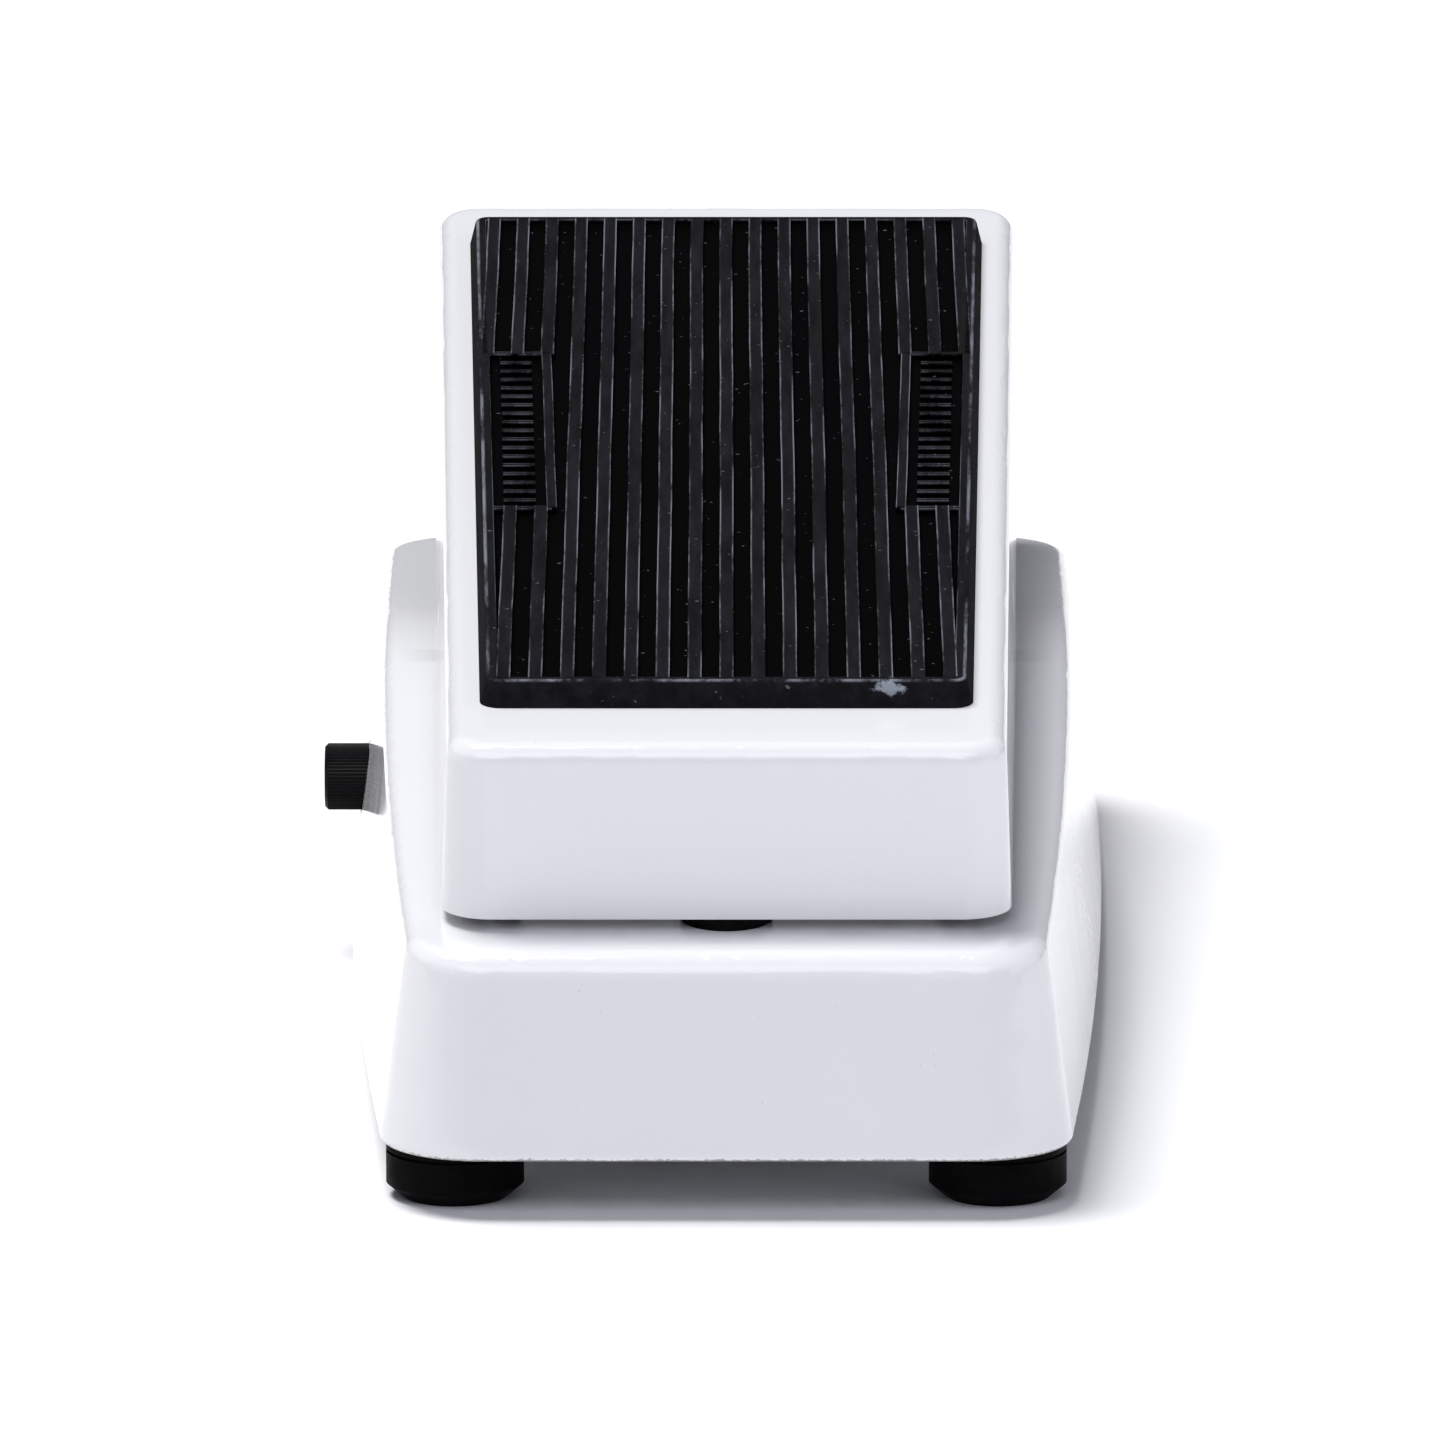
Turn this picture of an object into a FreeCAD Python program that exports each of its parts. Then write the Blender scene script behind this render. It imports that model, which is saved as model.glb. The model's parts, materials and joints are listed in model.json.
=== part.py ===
import FreeCAD, Part
import math
import os

from FreeCAD import Vector

# A foot-operated volume pedal. A drafted die-cast base stands on four rubber feet and carries a
# rocking treadle with a ribbed rubber pad. The treadle turns on a rod held in two lugs of the base
# and drives a rack, a pinion and the main potentiometer. A small knob on the left wall sets the
# lowest level. +Z is up, the heel end is at -Y, the toe end at +Y. The origin is on the floor, in
# the middle of the base. Lengths are in millimetres, angles in degrees.

# --- base casting ---------------------------------------------------------------------------------
BASE_LENGTH = 252.0
HEEL_WIDTH = 87.4          # across the bottom edge, just past the heel corners
TOE_WIDTH = 103.3          # across the bottom edge, just short of the toe corners
SIDE_BOW = 2.4             # how far each side swells past its chord
HEEL_CORNER_R = 13.0
TOE_CORNER_R = 19.0
WALL_DRAFT = 7.6           # lean of the outer walls
HEEL_HEIGHT = 25.5         # casting height at the heel end, above its own bottom edge
RIDGE_HEIGHT = 36.0
TOE_HEIGHT = 29.5
RIDGE_Y = 29.0
RIDGE_BLEND = 18.0         # the two roof slopes meet in an arc this far each side of the ridge
WALL_T = 3.0
ROOF_T = 3.0
RIM_R = 2.2                # rounding of the long roof edges
HEEL_RIM_R = 3.8           # rounding of the roof edge at the heel
BOTTOM_R = 0.7
SEAT_FIT = 0.3             # gap round a plate that drops into a rebate
TOUCH_FIT = 0.03           # radial gap of a part held still in a hole
RUN_FIT = 0.06             # radial gap of a shaft that turns or slides
LOOSE_FIT = 0.5            # radial gap of a part that only passes through

# --- bottom plate, feet and their screws ----------------------------------------------------------
PLATE_T = 1.5
LEDGE_W = 1.5
FOOT_HEIGHT = 7.5
FOOT_R = 8.7
FOOT_TIP_R = 6.6
FOOT_TAPER_H = 1.8
FOOT_FLANGE_H = 1.3
FOOT_LINE = 0.35           # depth and height of the fine line under the flange
FOOT_X = 34.2
FOOT_INSET_HEEL = 14.0
FOOT_INSET_TOE = 17.0
FOOT_BORE_R = 3.8
FOOT_BORE_DEPTH = 3.8
SCREW_R = 1.5
SCREW_HEAD_R = 2.9
SCREW_HEAD_H = 2.0
SCREW_SLOT_W = 0.8
SCREW_SLOT_D = 0.9
FOOT_SCREW_GRIP = 10.0     # thread length inside the boss
BOSS_R = 4.0

# --- treadle --------------------------------------------------------------------------------------
PIVOT_HEIGHT = 45.5        # rod axis above the casting's bottom edge
TREADLE_TILT = 7.0         # toe-up slope of the deck at rest
TRAVEL = 10.0              # rocking angle from heel-down to toe-down
DECK_TOP = 19.0            # deck surface above the rod axis, square to the deck
DECK_T = 3.0
TREADLE_HEEL_END = -113.0
TREADLE_TOE_END = 117.0
TREADLE_HEEL_WIDTH = 70.2  # across the deck
TREADLE_TOE_WIDTH = 80.2
TREADLE_CORNER_R = 5.5
TREADLE_DRAFT = 2.1
TREADLE_RIM_R = 2.6
TREADLE_WALL_T = 3.0
SKIRT_DEPTH = 45.0         # the skirt is drawn this deep, then cut to the platform's shape
SKIRT_GAP = 1.7            # skirt above the platform, at either end of the travel

# --- rubber pad -----------------------------------------------------------------------------------
PAD_T = 3.5
PAD_HEEL_END = -98.0
PAD_TOE_END = 101.0
PAD_HEEL_WIDTH = 62.2
PAD_TOE_WIDTH = 71.4
PAD_CORNER_R = 2.6
PAD_BEVEL = 14.0
GROOVE_COUNT = 16
GROOVE_PITCH = 4.03
GROOVE_WIDTH = 2.27
GROOVE_DEPTH = 0.9
PAD_EDGE_R = 0.5
PAD_RIM_W = 1.4            # raised border round the grooves
PANEL_WIDTH = 7.0          # the blank sunk panel along each side
PANEL_HEEL_END = -28.0
PANEL_TOE_END = 38.0
PANEL_BORDER = 1.3         # raised bar on each panel's inner side
PANEL_END_BAR = 1.0        # raised bar at either end of a panel

# --- pivot ----------------------------------------------------------------------------------------
ROD_R = 3.0
BUSH_WALL = 1.2
BUSH_FLANGE_T = 0.8
BUSH_FLANGE_W = 1.2
LUG_X = 17.0
LUG_T = 7.0
LUG_R = 7.5
LUG_FOOT = 26.0            # length of each lug where it meets the roof
HANGER_T = 8.0             # thickness of the treadle's rod hangers
HANGER_R = 7.0
GRUB_R = 2.0
ROD_END_GAP = 0.4          # each rod end stays this far inside the skirt

# --- bumpers --------------------------------------------------------------------------------------
BUMPER_R = 5.8
BUMPER_T = 1.0
BUMPER_INSET_HEEL = 6.8     # from the end of the treadle, whose columns have to reach the bumpers
BUMPER_INSET_TOE = 17.0
REST_GAP = 0.2
STUD_R = 5.0               # the treadle's columns that land on the bumpers

# --- potentiometers, rack and pinion --------------------------------------------------------------
BRACKET_T = 1.5
BRACKET_BOSS_DROP = 2.0
FLANGE_W = 14.0
BRACKET_SCREW_OUT = 2.0    # bracket screws from the middle of the flange, away from the plate
BRACKET_SCREW_GRIP = 3.0   # thread length inside the roof boss
BRACKET_LIMIT_Y = 85.0     # the roof height over the main bracket is taken here
POT_LID_T = 1.2
POT_TRACK_T = 1.0
POT_WIPER_T = 1.5
POT_SKIN = 0.5
POT_BUSH_TIP = 0.8         # bushing past its nut
POT_WIPER_GAP = 0.3
WASHER_W = 1.6
TAG_HOLE_R = 0.4
NUT_AF_RATIO = 1.45        # across flats of a nut over its thread diameter
WASHER_T = 0.5
TAG_W = 1.6
TAG_T = 0.5
TAG_LENGTH = 5.0
TAG_PITCH = 4.0
MAIN_POT = dict(name="main_pot", can_r=8.5, can_len=9.0, bush_r=3.8, shaft_r=3.0, nut_t=2.0)
LEVEL_POT = dict(name="level_pot", can_r=5.0, can_len=6.5, bush_r=2.6, shaft_r=1.6, nut_t=1.6)
MAIN_BRACKET_X = 13.0      # the face of the bracket on the rack's side
LEVEL_BRACKET_X = -37.0
MODULE = 0.6
PINION_TEETH = 18
PRESSURE_ANGLE = 20.0
BACKLASH = 0.12
MESH_GAP = 0.06            # extra distance between pinion and rack
PINION_W = 6.0
HUB_R = 5.2
HUB_W = 5.0
RACK_W = 5.0
RACK_D = 5.0               # rack depth behind its pitch line
RACK_RUNOUT = 2.4          # teeth past the pinion's axis at either end of the stroke
RACK_FLOOR_GAP = 1.0
GUIDE_T = 3.0
GUIDE_H = 9.0
GUIDE_FIT = 0.1
GUIDE_CHEEK = 2.2
GUIDE_WALL = 2.0
GUIDE_RELIEF = 0.2
GUIDE_SCREW_R = 1.0
GUIDE_SCREW_HEAD_R = 1.6
GUIDE_SCREW_HEAD_H = 1.2
GUIDE_SCREW_GRIP = 6.0
PIN_R = 2.0
PIN_DROP = 10.5            # rack pin below the deck surface, square to the deck
EYE_WALL = 2.2
EYE_FIT = 0.18
CLEVIS_GAP = 0.6
CLEVIS_T = 3.0
CLEVIS_R = 4.5
CLIP_T = 0.6
CLIP_W = 1.4
PIN_HEAD = 1.2             # thickness of the pin's head, and how far it stands past the pin
PIN_TIP = 1.6              # pin past its clip's near face
SLOT_MARGIN = 1.5

# --- side knob ------------------------------------------------------------------------------------
KNOB_R = 4.5
KNOB_Y = 24.0
KNOB_HEIGHT = 16.2         # knob axis above the casting's bottom edge
KNOB_RIBS = 60
KNOB_RIB_DEPTH = 0.15
KNOB_BEVEL = 0.45
KNOB_SEAT_DEPTH = 0.15     # the knob's round pocket, where the leaning wall is furthest from it
KNOB_SEAT_GAP = 0.3        # knob to the bottom of its pocket
KNOB_CAP_T = 1.2
KNOB_LENGTH = 5.9
POINTER_W = 0.6            # the engraved line on the knob's end
POINTER_D = 0.3
SHAFT_END_GAP = 0.3

# --- jacks ----------------------------------------------------------------------------------------
JACK_X = 20.0
JACK_HEIGHT = 14.5         # jack axis above the casting's bottom edge
JACK_BORE_R = 3.2
JACK_BUSH_R = 4.7
JACK_DEPTH = 30.0          # how far a plug goes in
JACK_BODY_W = 17.0
JACK_BODY_H = 15.0
JACK_SEAT_R = 8.2          # flat seat for the nut, cut square into the leaning wall
JACK_PAD_T = 4.5
JACK_NUT_T = 2.2
JACK_TIP = 0.6             # bushing past its nut
JACK_NUT_AF = 13.0
JACK_WASHER_R = 7.4
JACK_END_WALL = 2.0        # body behind the bore's inner end
JACK_TAG_PITCH = 5.0
WIRE_R = 0.6
WIRE_TAG_GAP = 0.3

DRAFT = math.tan(math.radians(WALL_DRAFT))
HALF_LENGTH = BASE_LENGTH / 2
HEEL_SLOPE = (RIDGE_HEIGHT - HEEL_HEIGHT) / (HALF_LENGTH + RIDGE_Y)
TOE_SLOPE = (RIDGE_HEIGHT - TOE_HEIGHT) / (HALF_LENGTH - RIDGE_Y)
PIVOT = Vector(0, 0, FOOT_HEIGHT + PIVOT_HEIGHT)
PLATE_TOP = FOOT_HEIGHT + PLATE_T
FAR = 400.0                # longer than anything it cuts

BASE_PLAN = dict(
    y0=-HALF_LENGTH, y1=HALF_LENGTH, x0=HEEL_WIDTH / 2, x1=TOE_WIDTH / 2,
    r0=HEEL_CORNER_R, r1=TOE_CORNER_R, bow=SIDE_BOW,
)
TREADLE_PLAN = dict(
    y0=TREADLE_HEEL_END, y1=TREADLE_TOE_END, x0=TREADLE_HEEL_WIDTH / 2, x1=TREADLE_TOE_WIDTH / 2,
    r0=TREADLE_CORNER_R, r1=TREADLE_CORNER_R, bow=0.0,
)
PAD_PLAN = dict(
    y0=PAD_HEEL_END, y1=PAD_TOE_END, x0=PAD_HEEL_WIDTH / 2, x1=PAD_TOE_WIDTH / 2,
    r0=PAD_CORNER_R, r1=PAD_CORNER_R, bow=0.0,
)


# --- small helpers --------------------------------------------------------------------------------
def box(x0, x1, y0, y1, z0, z1):
    return Part.makeBox(x1 - x0, y1 - y0, z1 - z0, Vector(x0, y0, z0))


def rod(radius, start, axis, length):
    return Part.makeCylinder(radius, length, Vector(*start), Vector(*axis))


def ring(outer, inner, start, axis, length):
    return rod(outer, start, axis, length).cut(rod(inner, start, axis, length))


def prism_x(points, x0, x1):
    """A closed outline of (y, z) points, made solid from x0 to x1."""
    corners = [Vector(x0, y, z) for y, z in points]
    face = Part.Face(Part.makePolygon(corners + corners[:1]))
    return face.extrude(Vector(x1 - x0, 0, 0))


def hex_nut(across_flats, bore_r, start, axis, length):
    """A nut whose flats stand square to the axis, which lies along X or Y."""
    corner_r = across_flats / math.sqrt(3)
    angles = [math.radians(60 * i) for i in range(7)]
    if axis[1]:
        corners = [Vector(corner_r * math.cos(a), 0, corner_r * math.sin(a)) for a in angles]
    else:
        corners = [Vector(0, corner_r * math.cos(a), corner_r * math.sin(a)) for a in angles]
    face = Part.Face(Part.makePolygon(corners))
    nut = face.extrude(Vector(*axis) * length)
    nut.translate(Vector(*start))
    return nut.cut(rod(bore_r, start, axis, length))


def screw(point, up, length):
    """A slotted pan-head screw. Point is the underside of its head, up is +1 or -1 along Z."""
    x, y, z = point
    head = rod(SCREW_HEAD_R, (x, y, z), (0, 0, -up), SCREW_HEAD_H)
    shank = rod(SCREW_R, (x, y, z), (0, 0, up), length)
    low, high = sorted((z - up * SCREW_HEAD_H, z - up * (SCREW_HEAD_H - SCREW_SLOT_D)))
    slot = box(x - FAR, x + FAR, y - SCREW_SLOT_W / 2, y + SCREW_SLOT_W / 2, low, high)
    return head.fuse(shank).cut(slot).removeSplitter()


def plan_wire(y0, y1, x0, x1, r0, r1, bow, inset, z):
    """A rounded plan outline: straight ends, sides that lean and swell, drawn in by inset."""
    y0, y1, x0, x1 = y0 + inset, y1 - inset, x0 - inset, x1 - inset
    r0, r1 = r0 - inset, r1 - inset
    span = (y1 - r1) - (y0 + r0)
    lean = math.atan2(x1 - x0, span)
    swell = 2 * math.atan2(2 * bow, span)
    a0, a1 = lean + swell, lean - swell
    c0 = Vector(x0 - r0 * math.cos(a0), y0 + r0, z)
    c1 = Vector(x1 - r1 * math.cos(a1), y1 - r1, z)

    def on_circle(centre, radius, angle):
        return centre + Vector(radius * math.cos(angle), radius * math.sin(angle), 0)

    heel = on_circle(c0, r0, -a0)
    toe = on_circle(c1, r1, -a1)
    middle = (heel + toe) * 0.5 + Vector(math.cos(lean), -math.sin(lean), 0) * bow
    right = [
        (c0 + Vector(0, -r0, 0), on_circle(c0, r0, -(math.pi / 2 + a0) / 2), heel),
        (heel, middle, toe),
        (toe, on_circle(c1, r1, (math.pi / 2 - a1) / 2), c1 + Vector(0, r1, 0)),
    ]

    def flip(p):
        return Vector(-p.x, p.y, p.z)

    def curve(a, b, c):
        straight = bow == 0 and abs(b.y - middle.y) < 1e-6
        return Part.makeLine(a, c) if straight else Part.Arc(a, b, c).toShape()

    edges = [Part.makeLine(flip(right[0][0]), right[0][0])]
    edges += [curve(a, b, c) for a, b, c in right]
    edges.append(Part.makeLine(right[2][2], flip(right[2][2])))
    edges += [curve(flip(c), flip(b), flip(a)) for a, b, c in reversed(right)]
    return Part.Wire(Part.__sortEdges__(edges))


def drafted(plan, z0, z1, inset0, slope):
    """A solid between two heights whose walls lean in by slope on the way up."""
    low = plan_wire(**plan, inset=inset0, z=z0)
    high = plan_wire(**plan, inset=inset0 + (z1 - z0) * slope, z=z1)
    return Part.makeLoft([low, high], True, True)


def upright(plan, z0, z1, inset):
    return Part.Face(plan_wire(**plan, inset=inset, z=z0)).extrude(Vector(0, 0, z1 - z0))


# --- the roof line of the base --------------------------------------------------------------------
def ridge_arc():
    """Start, middle and end of the arc that rounds the ridge, with its centre and radius."""
    apex = Vector(0, RIDGE_Y, FOOT_HEIGHT + RIDGE_HEIGHT)
    to_heel = Vector(0, -1, -HEEL_SLOPE).normalize()
    to_toe = Vector(0, 1, -TOE_SLOPE).normalize()
    half_turn = (math.pi - to_heel.getAngle(to_toe)) / 2
    radius = RIDGE_BLEND / math.tan(half_turn)
    down = (to_heel + to_toe).normalize()
    centre = apex + down * (radius / math.cos(half_turn))
    middle = centre - down * radius
    return apex + to_heel * RIDGE_BLEND, middle, apex + to_toe * RIDGE_BLEND, centre, radius


def roof_z(y):
    """Height of the platform's surface above the floor."""
    start, _, end, centre, radius = ridge_arc()
    apex_z = FOOT_HEIGHT + RIDGE_HEIGHT
    if y < start.y:
        return apex_z + (y - RIDGE_Y) * HEEL_SLOPE
    if y > end.y:
        return apex_z - (y - RIDGE_Y) * TOE_SLOPE
    return centre.z + math.sqrt(radius ** 2 - (y - centre.y) ** 2)


def under_roof(lift):
    """Everything below the platform's surface, raised by lift."""
    start, middle, end, _, _ = ridge_arc()
    move = Vector(-FAR, 0, lift)
    a, b, c = start + move, middle + move, end + move
    heel = Vector(-FAR, -FAR, a.z + (-FAR - a.y) * HEEL_SLOPE)
    toe = Vector(-FAR, FAR, c.z - (FAR - c.y) * TOE_SLOPE)
    toe_low = Vector(-FAR, FAR, -FAR)
    heel_low = Vector(-FAR, -FAR, -FAR)
    edges = [
        Part.makeLine(heel, a), Part.Arc(a, b, c).toShape(), Part.makeLine(c, toe),
        Part.makeLine(toe, toe_low), Part.makeLine(toe_low, heel_low), Part.makeLine(heel_low, heel),
    ]
    return Part.Face(Part.Wire(edges)).extrude(Vector(2 * FAR, 0, 0))


# --- places that several pieces share -------------------------------------------------------------
def base_wall_x(y, height):
    """Half width of the casting's outside at a height above its own bottom edge."""
    bottom = Part.Face(plan_wire(**BASE_PLAN, inset=0.0, z=0.0))
    line = Part.makeLine(Vector(0, y, 0), Vector(FAR, y, 0))
    return bottom.common(line).BoundBox.XMax - height * DRAFT


FOOT_PLACES = {
    "heel_left": (-FOOT_X, -HALF_LENGTH + FOOT_INSET_HEEL),
    "heel_right": (FOOT_X, -HALF_LENGTH + FOOT_INSET_HEEL),
    "toe_left": (-FOOT_X, HALF_LENGTH - FOOT_INSET_TOE),
    "toe_right": (FOOT_X, HALF_LENGTH - FOOT_INSET_TOE),
}
HEEL_BUMPER_Y = TREADLE_HEEL_END + BUMPER_INSET_HEEL
TOE_BUMPER_Y = TREADLE_TOE_END - BUMPER_INSET_TOE

TRAVEL_RAD = math.radians(TRAVEL)
PITCH_R = MODULE * PINION_TEETH / 2
MAIN_FLANGE_TOP = roof_z(BRACKET_LIMIT_Y) - ROOF_T - BRACKET_BOSS_DROP
MAIN_AXIS_Z = MAIN_FLANGE_TOP - BRACKET_T - MAIN_POT["can_r"] - SCREW_HEAD_H
RACK_STROKE = MAIN_AXIS_Z - RACK_RUNOUT - RACK_FLOOR_GAP - PLATE_TOP
RACK_Y = RACK_STROKE / math.sin(TRAVEL_RAD)
TILT_RAD = math.radians(TREADLE_TILT)
PIN_T = DECK_TOP - PIN_DROP
PIN_Y = RACK_Y
PIN_S = (PIN_Y + PIN_T * math.sin(TILT_RAD)) / math.cos(TILT_RAD)
PIN_Z = PIVOT.z + PIN_S * math.sin(TILT_RAD) + PIN_T * math.cos(TILT_RAD)


def toe_down(y, z):
    """Where a point of the treadle goes when the toe is pressed right down."""
    dy, dz = y - PIVOT.y, z - PIVOT.z
    cos, sin = math.cos(TRAVEL_RAD), math.sin(TRAVEL_RAD)
    return PIVOT.y + dy * cos + dz * sin, PIVOT.z - dy * sin + dz * cos


PIN_Y_DOWN, PIN_Z_DOWN = toe_down(PIN_Y, PIN_Z)
RACK_DROP = PIN_Z - PIN_Z_DOWN
PITCH_LINE_Y = RACK_Y - RACK_D / 2
PINION_Y = PITCH_LINE_Y - PITCH_R - MESH_GAP
LEVEL_FLANGE_TOP = roof_z(KNOB_Y) - ROOF_T - BRACKET_BOSS_DROP
KNOB_Z = FOOT_HEIGHT + KNOB_HEIGHT
KNOB_SEAT_X = -base_wall_x(KNOB_Y, KNOB_HEIGHT + KNOB_R) + KNOB_SEAT_DEPTH
KNOB_BACK_X = KNOB_SEAT_X - KNOB_SEAT_GAP
KNOB_TIP_X = KNOB_BACK_X - KNOB_LENGTH
JACK_Z = FOOT_HEIGHT + JACK_HEIGHT
JACK_SEAT_Y = HALF_LENGTH - (JACK_HEIGHT + JACK_SEAT_R) * DRAFT - TOUCH_FIT
JACK_PAD_Y = JACK_SEAT_Y - JACK_PAD_T
JACK_MOUTH_Y = JACK_SEAT_Y + JACK_NUT_T + JACK_TIP

BRACKETS = {
    "main_pot": dict(
        x=MAIN_BRACKET_X, y0=PINION_Y - MAIN_POT["can_r"], y1=RACK_Y + RACK_D / 2 + GUIDE_T,
        top=MAIN_FLANGE_TOP, bottom=MAIN_AXIS_Z - MAIN_POT["can_r"] + LOOSE_FIT,
        axis_y=PINION_Y, axis_z=MAIN_AXIS_Z, pot=MAIN_POT,
    ),
    "level_pot": dict(
        x=LEVEL_BRACKET_X, y0=KNOB_Y - 8.0, y1=KNOB_Y + 8.0,
        top=LEVEL_FLANGE_TOP, bottom=KNOB_Z - LEVEL_POT["can_r"] - 1.0,
        axis_y=KNOB_Y, axis_z=KNOB_Z, pot=LEVEL_POT,
    ),
}


def bracket_screw_places(b):
    """Plan centres of the two screws that hold a bracket up."""
    x = b["x"] + BRACKET_T + FLANGE_W / 2 + BRACKET_SCREW_OUT
    inset = SCREW_HEAD_R + 1.0
    return [(x, b["y0"] + inset), (x, b["y1"] - inset)]


# --- base casting ---------------------------------------------------------------------------------
def rim_rounded(body):
    """Rounds the roof edges: full at the heel, finer along the sides, blended in the heel corners."""
    doc = FreeCAD.newDocument("rounding")
    source = doc.addObject("Part::Feature", "body")
    source.Shape = body
    rows = []
    for number, edge in enumerate(body.Edges, 1):
        box_e = edge.BoundBox
        on_floor = box_e.ZMax < FOOT_HEIGHT + 0.01
        across = box_e.XMin < -1 and box_e.XMax > 1
        upright_edge = box_e.ZLength > HEEL_HEIGHT / 2
        if on_floor:
            rows.append((number, BOTTOM_R, BOTTOM_R))
        elif upright_edge:
            continue
        elif across and box_e.YMax < -HALF_LENGTH / 2:
            rows.append((number, HEEL_RIM_R, HEEL_RIM_R))
        elif across and box_e.YMin < HALF_LENGTH / 2:
            continue
        elif box_e.YMax < -HALF_LENGTH + HEEL_CORNER_R + 4:
            first, last = edge.Vertexes[0].Point, edge.Vertexes[-1].Point
            if abs(first.x) < abs(last.x):
                rows.append((number, HEEL_RIM_R, RIM_R))
            else:
                rows.append((number, RIM_R, HEEL_RIM_R))
        else:
            rows.append((number, RIM_R, RIM_R))
    fillet = doc.addObject("Part::Fillet", "fillet")
    fillet.Base = source
    fillet.Edges = rows
    doc.recompute()
    shape = fillet.Shape.copy()
    FreeCAD.closeDocument(doc.Name)
    return shape


def pivot_lug(side):
    """One ear that holds the rod, with a broad foot on the roof."""
    x0 = side * LUG_X - LUG_T / 2
    low = roof_z(0) - ROOF_T / 2
    half = LUG_FOOT / 2
    web = prism_x([
        (-half, low), (half, low), (LUG_R, PIVOT.z), (-LUG_R, PIVOT.z),
    ], x0, x0 + LUG_T)
    return web.fuse(rod(LUG_R, (x0, 0, PIVOT.z), (1, 0, 0), LUG_T))


def make_housing():
    top = FOOT_HEIGHT + RIDGE_HEIGHT + 10
    outer = drafted(BASE_PLAN, FOOT_HEIGHT, top, 0.0, DRAFT).common(under_roof(0.0))
    outer = rim_rounded(outer)
    inner = drafted(BASE_PLAN, FOOT_HEIGHT, top, WALL_T, DRAFT).common(under_roof(-ROOF_T))
    body = outer.cut(inner)
    body = body.cut(upright(BASE_PLAN, FOOT_HEIGHT, PLATE_TOP, WALL_T - LEDGE_W))

    inside = drafted(BASE_PLAN, FOOT_HEIGHT, top, WALL_T / 2, DRAFT).common(under_roof(-ROOF_T / 2))
    for x, y in FOOT_PLACES.values():
        boss = rod(BOSS_R, (x, y, PLATE_TOP), (0, 0, 1), FAR).common(inside)
        body = body.fuse(boss)
    for b in BRACKETS.values():
        for x, y in bracket_screw_places(b):
            body = body.fuse(rod(BOSS_R, (x, y, b["top"]), (0, 0, 1), FAR).common(inside))
    for side in (-1, 1):
        body = body.fuse(pivot_lug(side))
        x = side * JACK_X
        half = JACK_SEAT_R + 1.0
        pad = box(x - half, x + half, JACK_PAD_Y, HALF_LENGTH, JACK_Z - half, JACK_Z + half)
        body = body.fuse(pad.common(inside))

    for x, y in FOOT_PLACES.values():
        depth = FOOT_SCREW_GRIP + 2
        body = body.cut(rod(SCREW_R + TOUCH_FIT, (x, y, PLATE_TOP - 1), (0, 0, 1), depth + 1))
    for b in BRACKETS.values():
        for x, y in bracket_screw_places(b):
            depth = BRACKET_SCREW_GRIP + 1.5
            body = body.cut(rod(SCREW_R + TOUCH_FIT, (x, y, b["top"] - 1), (0, 0, 1), depth))
    body = body.cut(rod(ROD_R + BUSH_WALL + TOUCH_FIT, (-FAR / 2, 0, PIVOT.z), (1, 0, 0), FAR))
    for side in (-1, 1):
        x = side * JACK_X
        body = body.cut(rod(JACK_SEAT_R, (x, JACK_SEAT_Y, JACK_Z), (0, 1, 0), FAR))
        body = body.cut(rod(JACK_BUSH_R + TOUCH_FIT, (x, JACK_PAD_Y - 5, JACK_Z), (0, 1, 0), FAR))
    hole_r = LEVEL_POT["shaft_r"] + LOOSE_FIT
    body = body.cut(rod(hole_r, (LEVEL_BRACKET_X, KNOB_Y, KNOB_Z), (-1, 0, 0), FAR))
    body = body.cut(rod(KNOB_R + LOOSE_FIT, (KNOB_SEAT_X, KNOB_Y, KNOB_Z), (-1, 0, 0), FAR))
    half = RACK_W / 2 + SLOT_MARGIN
    y0 = PITCH_LINE_Y - MODULE - SLOT_MARGIN
    y1 = RACK_Y + RACK_D / 2 + SLOT_MARGIN
    return body.cut(box(-half, half, y0, y1, roof_z(y1) - 2 * ROOF_T, FAR))


def make_base_plate():
    inset = WALL_T - LEDGE_W + SEAT_FIT
    plate = upright(BASE_PLAN, FOOT_HEIGHT, PLATE_TOP, inset)
    for x, y in FOOT_PLACES.values():
        plate = plate.cut(rod(SCREW_R + TOUCH_FIT, (x, y, 0), (0, 0, 1), FAR))
    return plate


def make_foot(x, y):
    """A rubber foot: flange, fine line, straight wall and a tapered tread, with a screw well."""
    line_top = FOOT_HEIGHT - FOOT_FLANGE_H
    outline = [
        (0, 0), (FOOT_TIP_R, 0), (FOOT_R, FOOT_TAPER_H), (FOOT_R, line_top - FOOT_LINE),
        (FOOT_R - FOOT_LINE, line_top - FOOT_LINE), (FOOT_R - FOOT_LINE, line_top),
        (FOOT_R, line_top), (FOOT_R, FOOT_HEIGHT), (0, FOOT_HEIGHT),
    ]
    points = [Vector(r, 0, z) for r, z in outline]
    face = Part.Face(Part.makePolygon(points + points[:1]))
    foot = face.revolve(Vector(0, 0, 0), Vector(0, 0, 1), 360)
    foot = foot.cut(rod(FOOT_BORE_R, (0, 0, 0), (0, 0, 1), FOOT_BORE_DEPTH))
    foot = foot.cut(rod(SCREW_R + TOUCH_FIT, (0, 0, 0), (0, 0, 1), FAR))
    foot.translate(Vector(x, y, 0))
    return foot


def make_foot_screws():
    length = PLATE_TOP - FOOT_BORE_DEPTH + FOOT_SCREW_GRIP
    return [screw((x, y, FOOT_BORE_DEPTH), 1, length) for x, y in FOOT_PLACES.values()]


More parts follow.
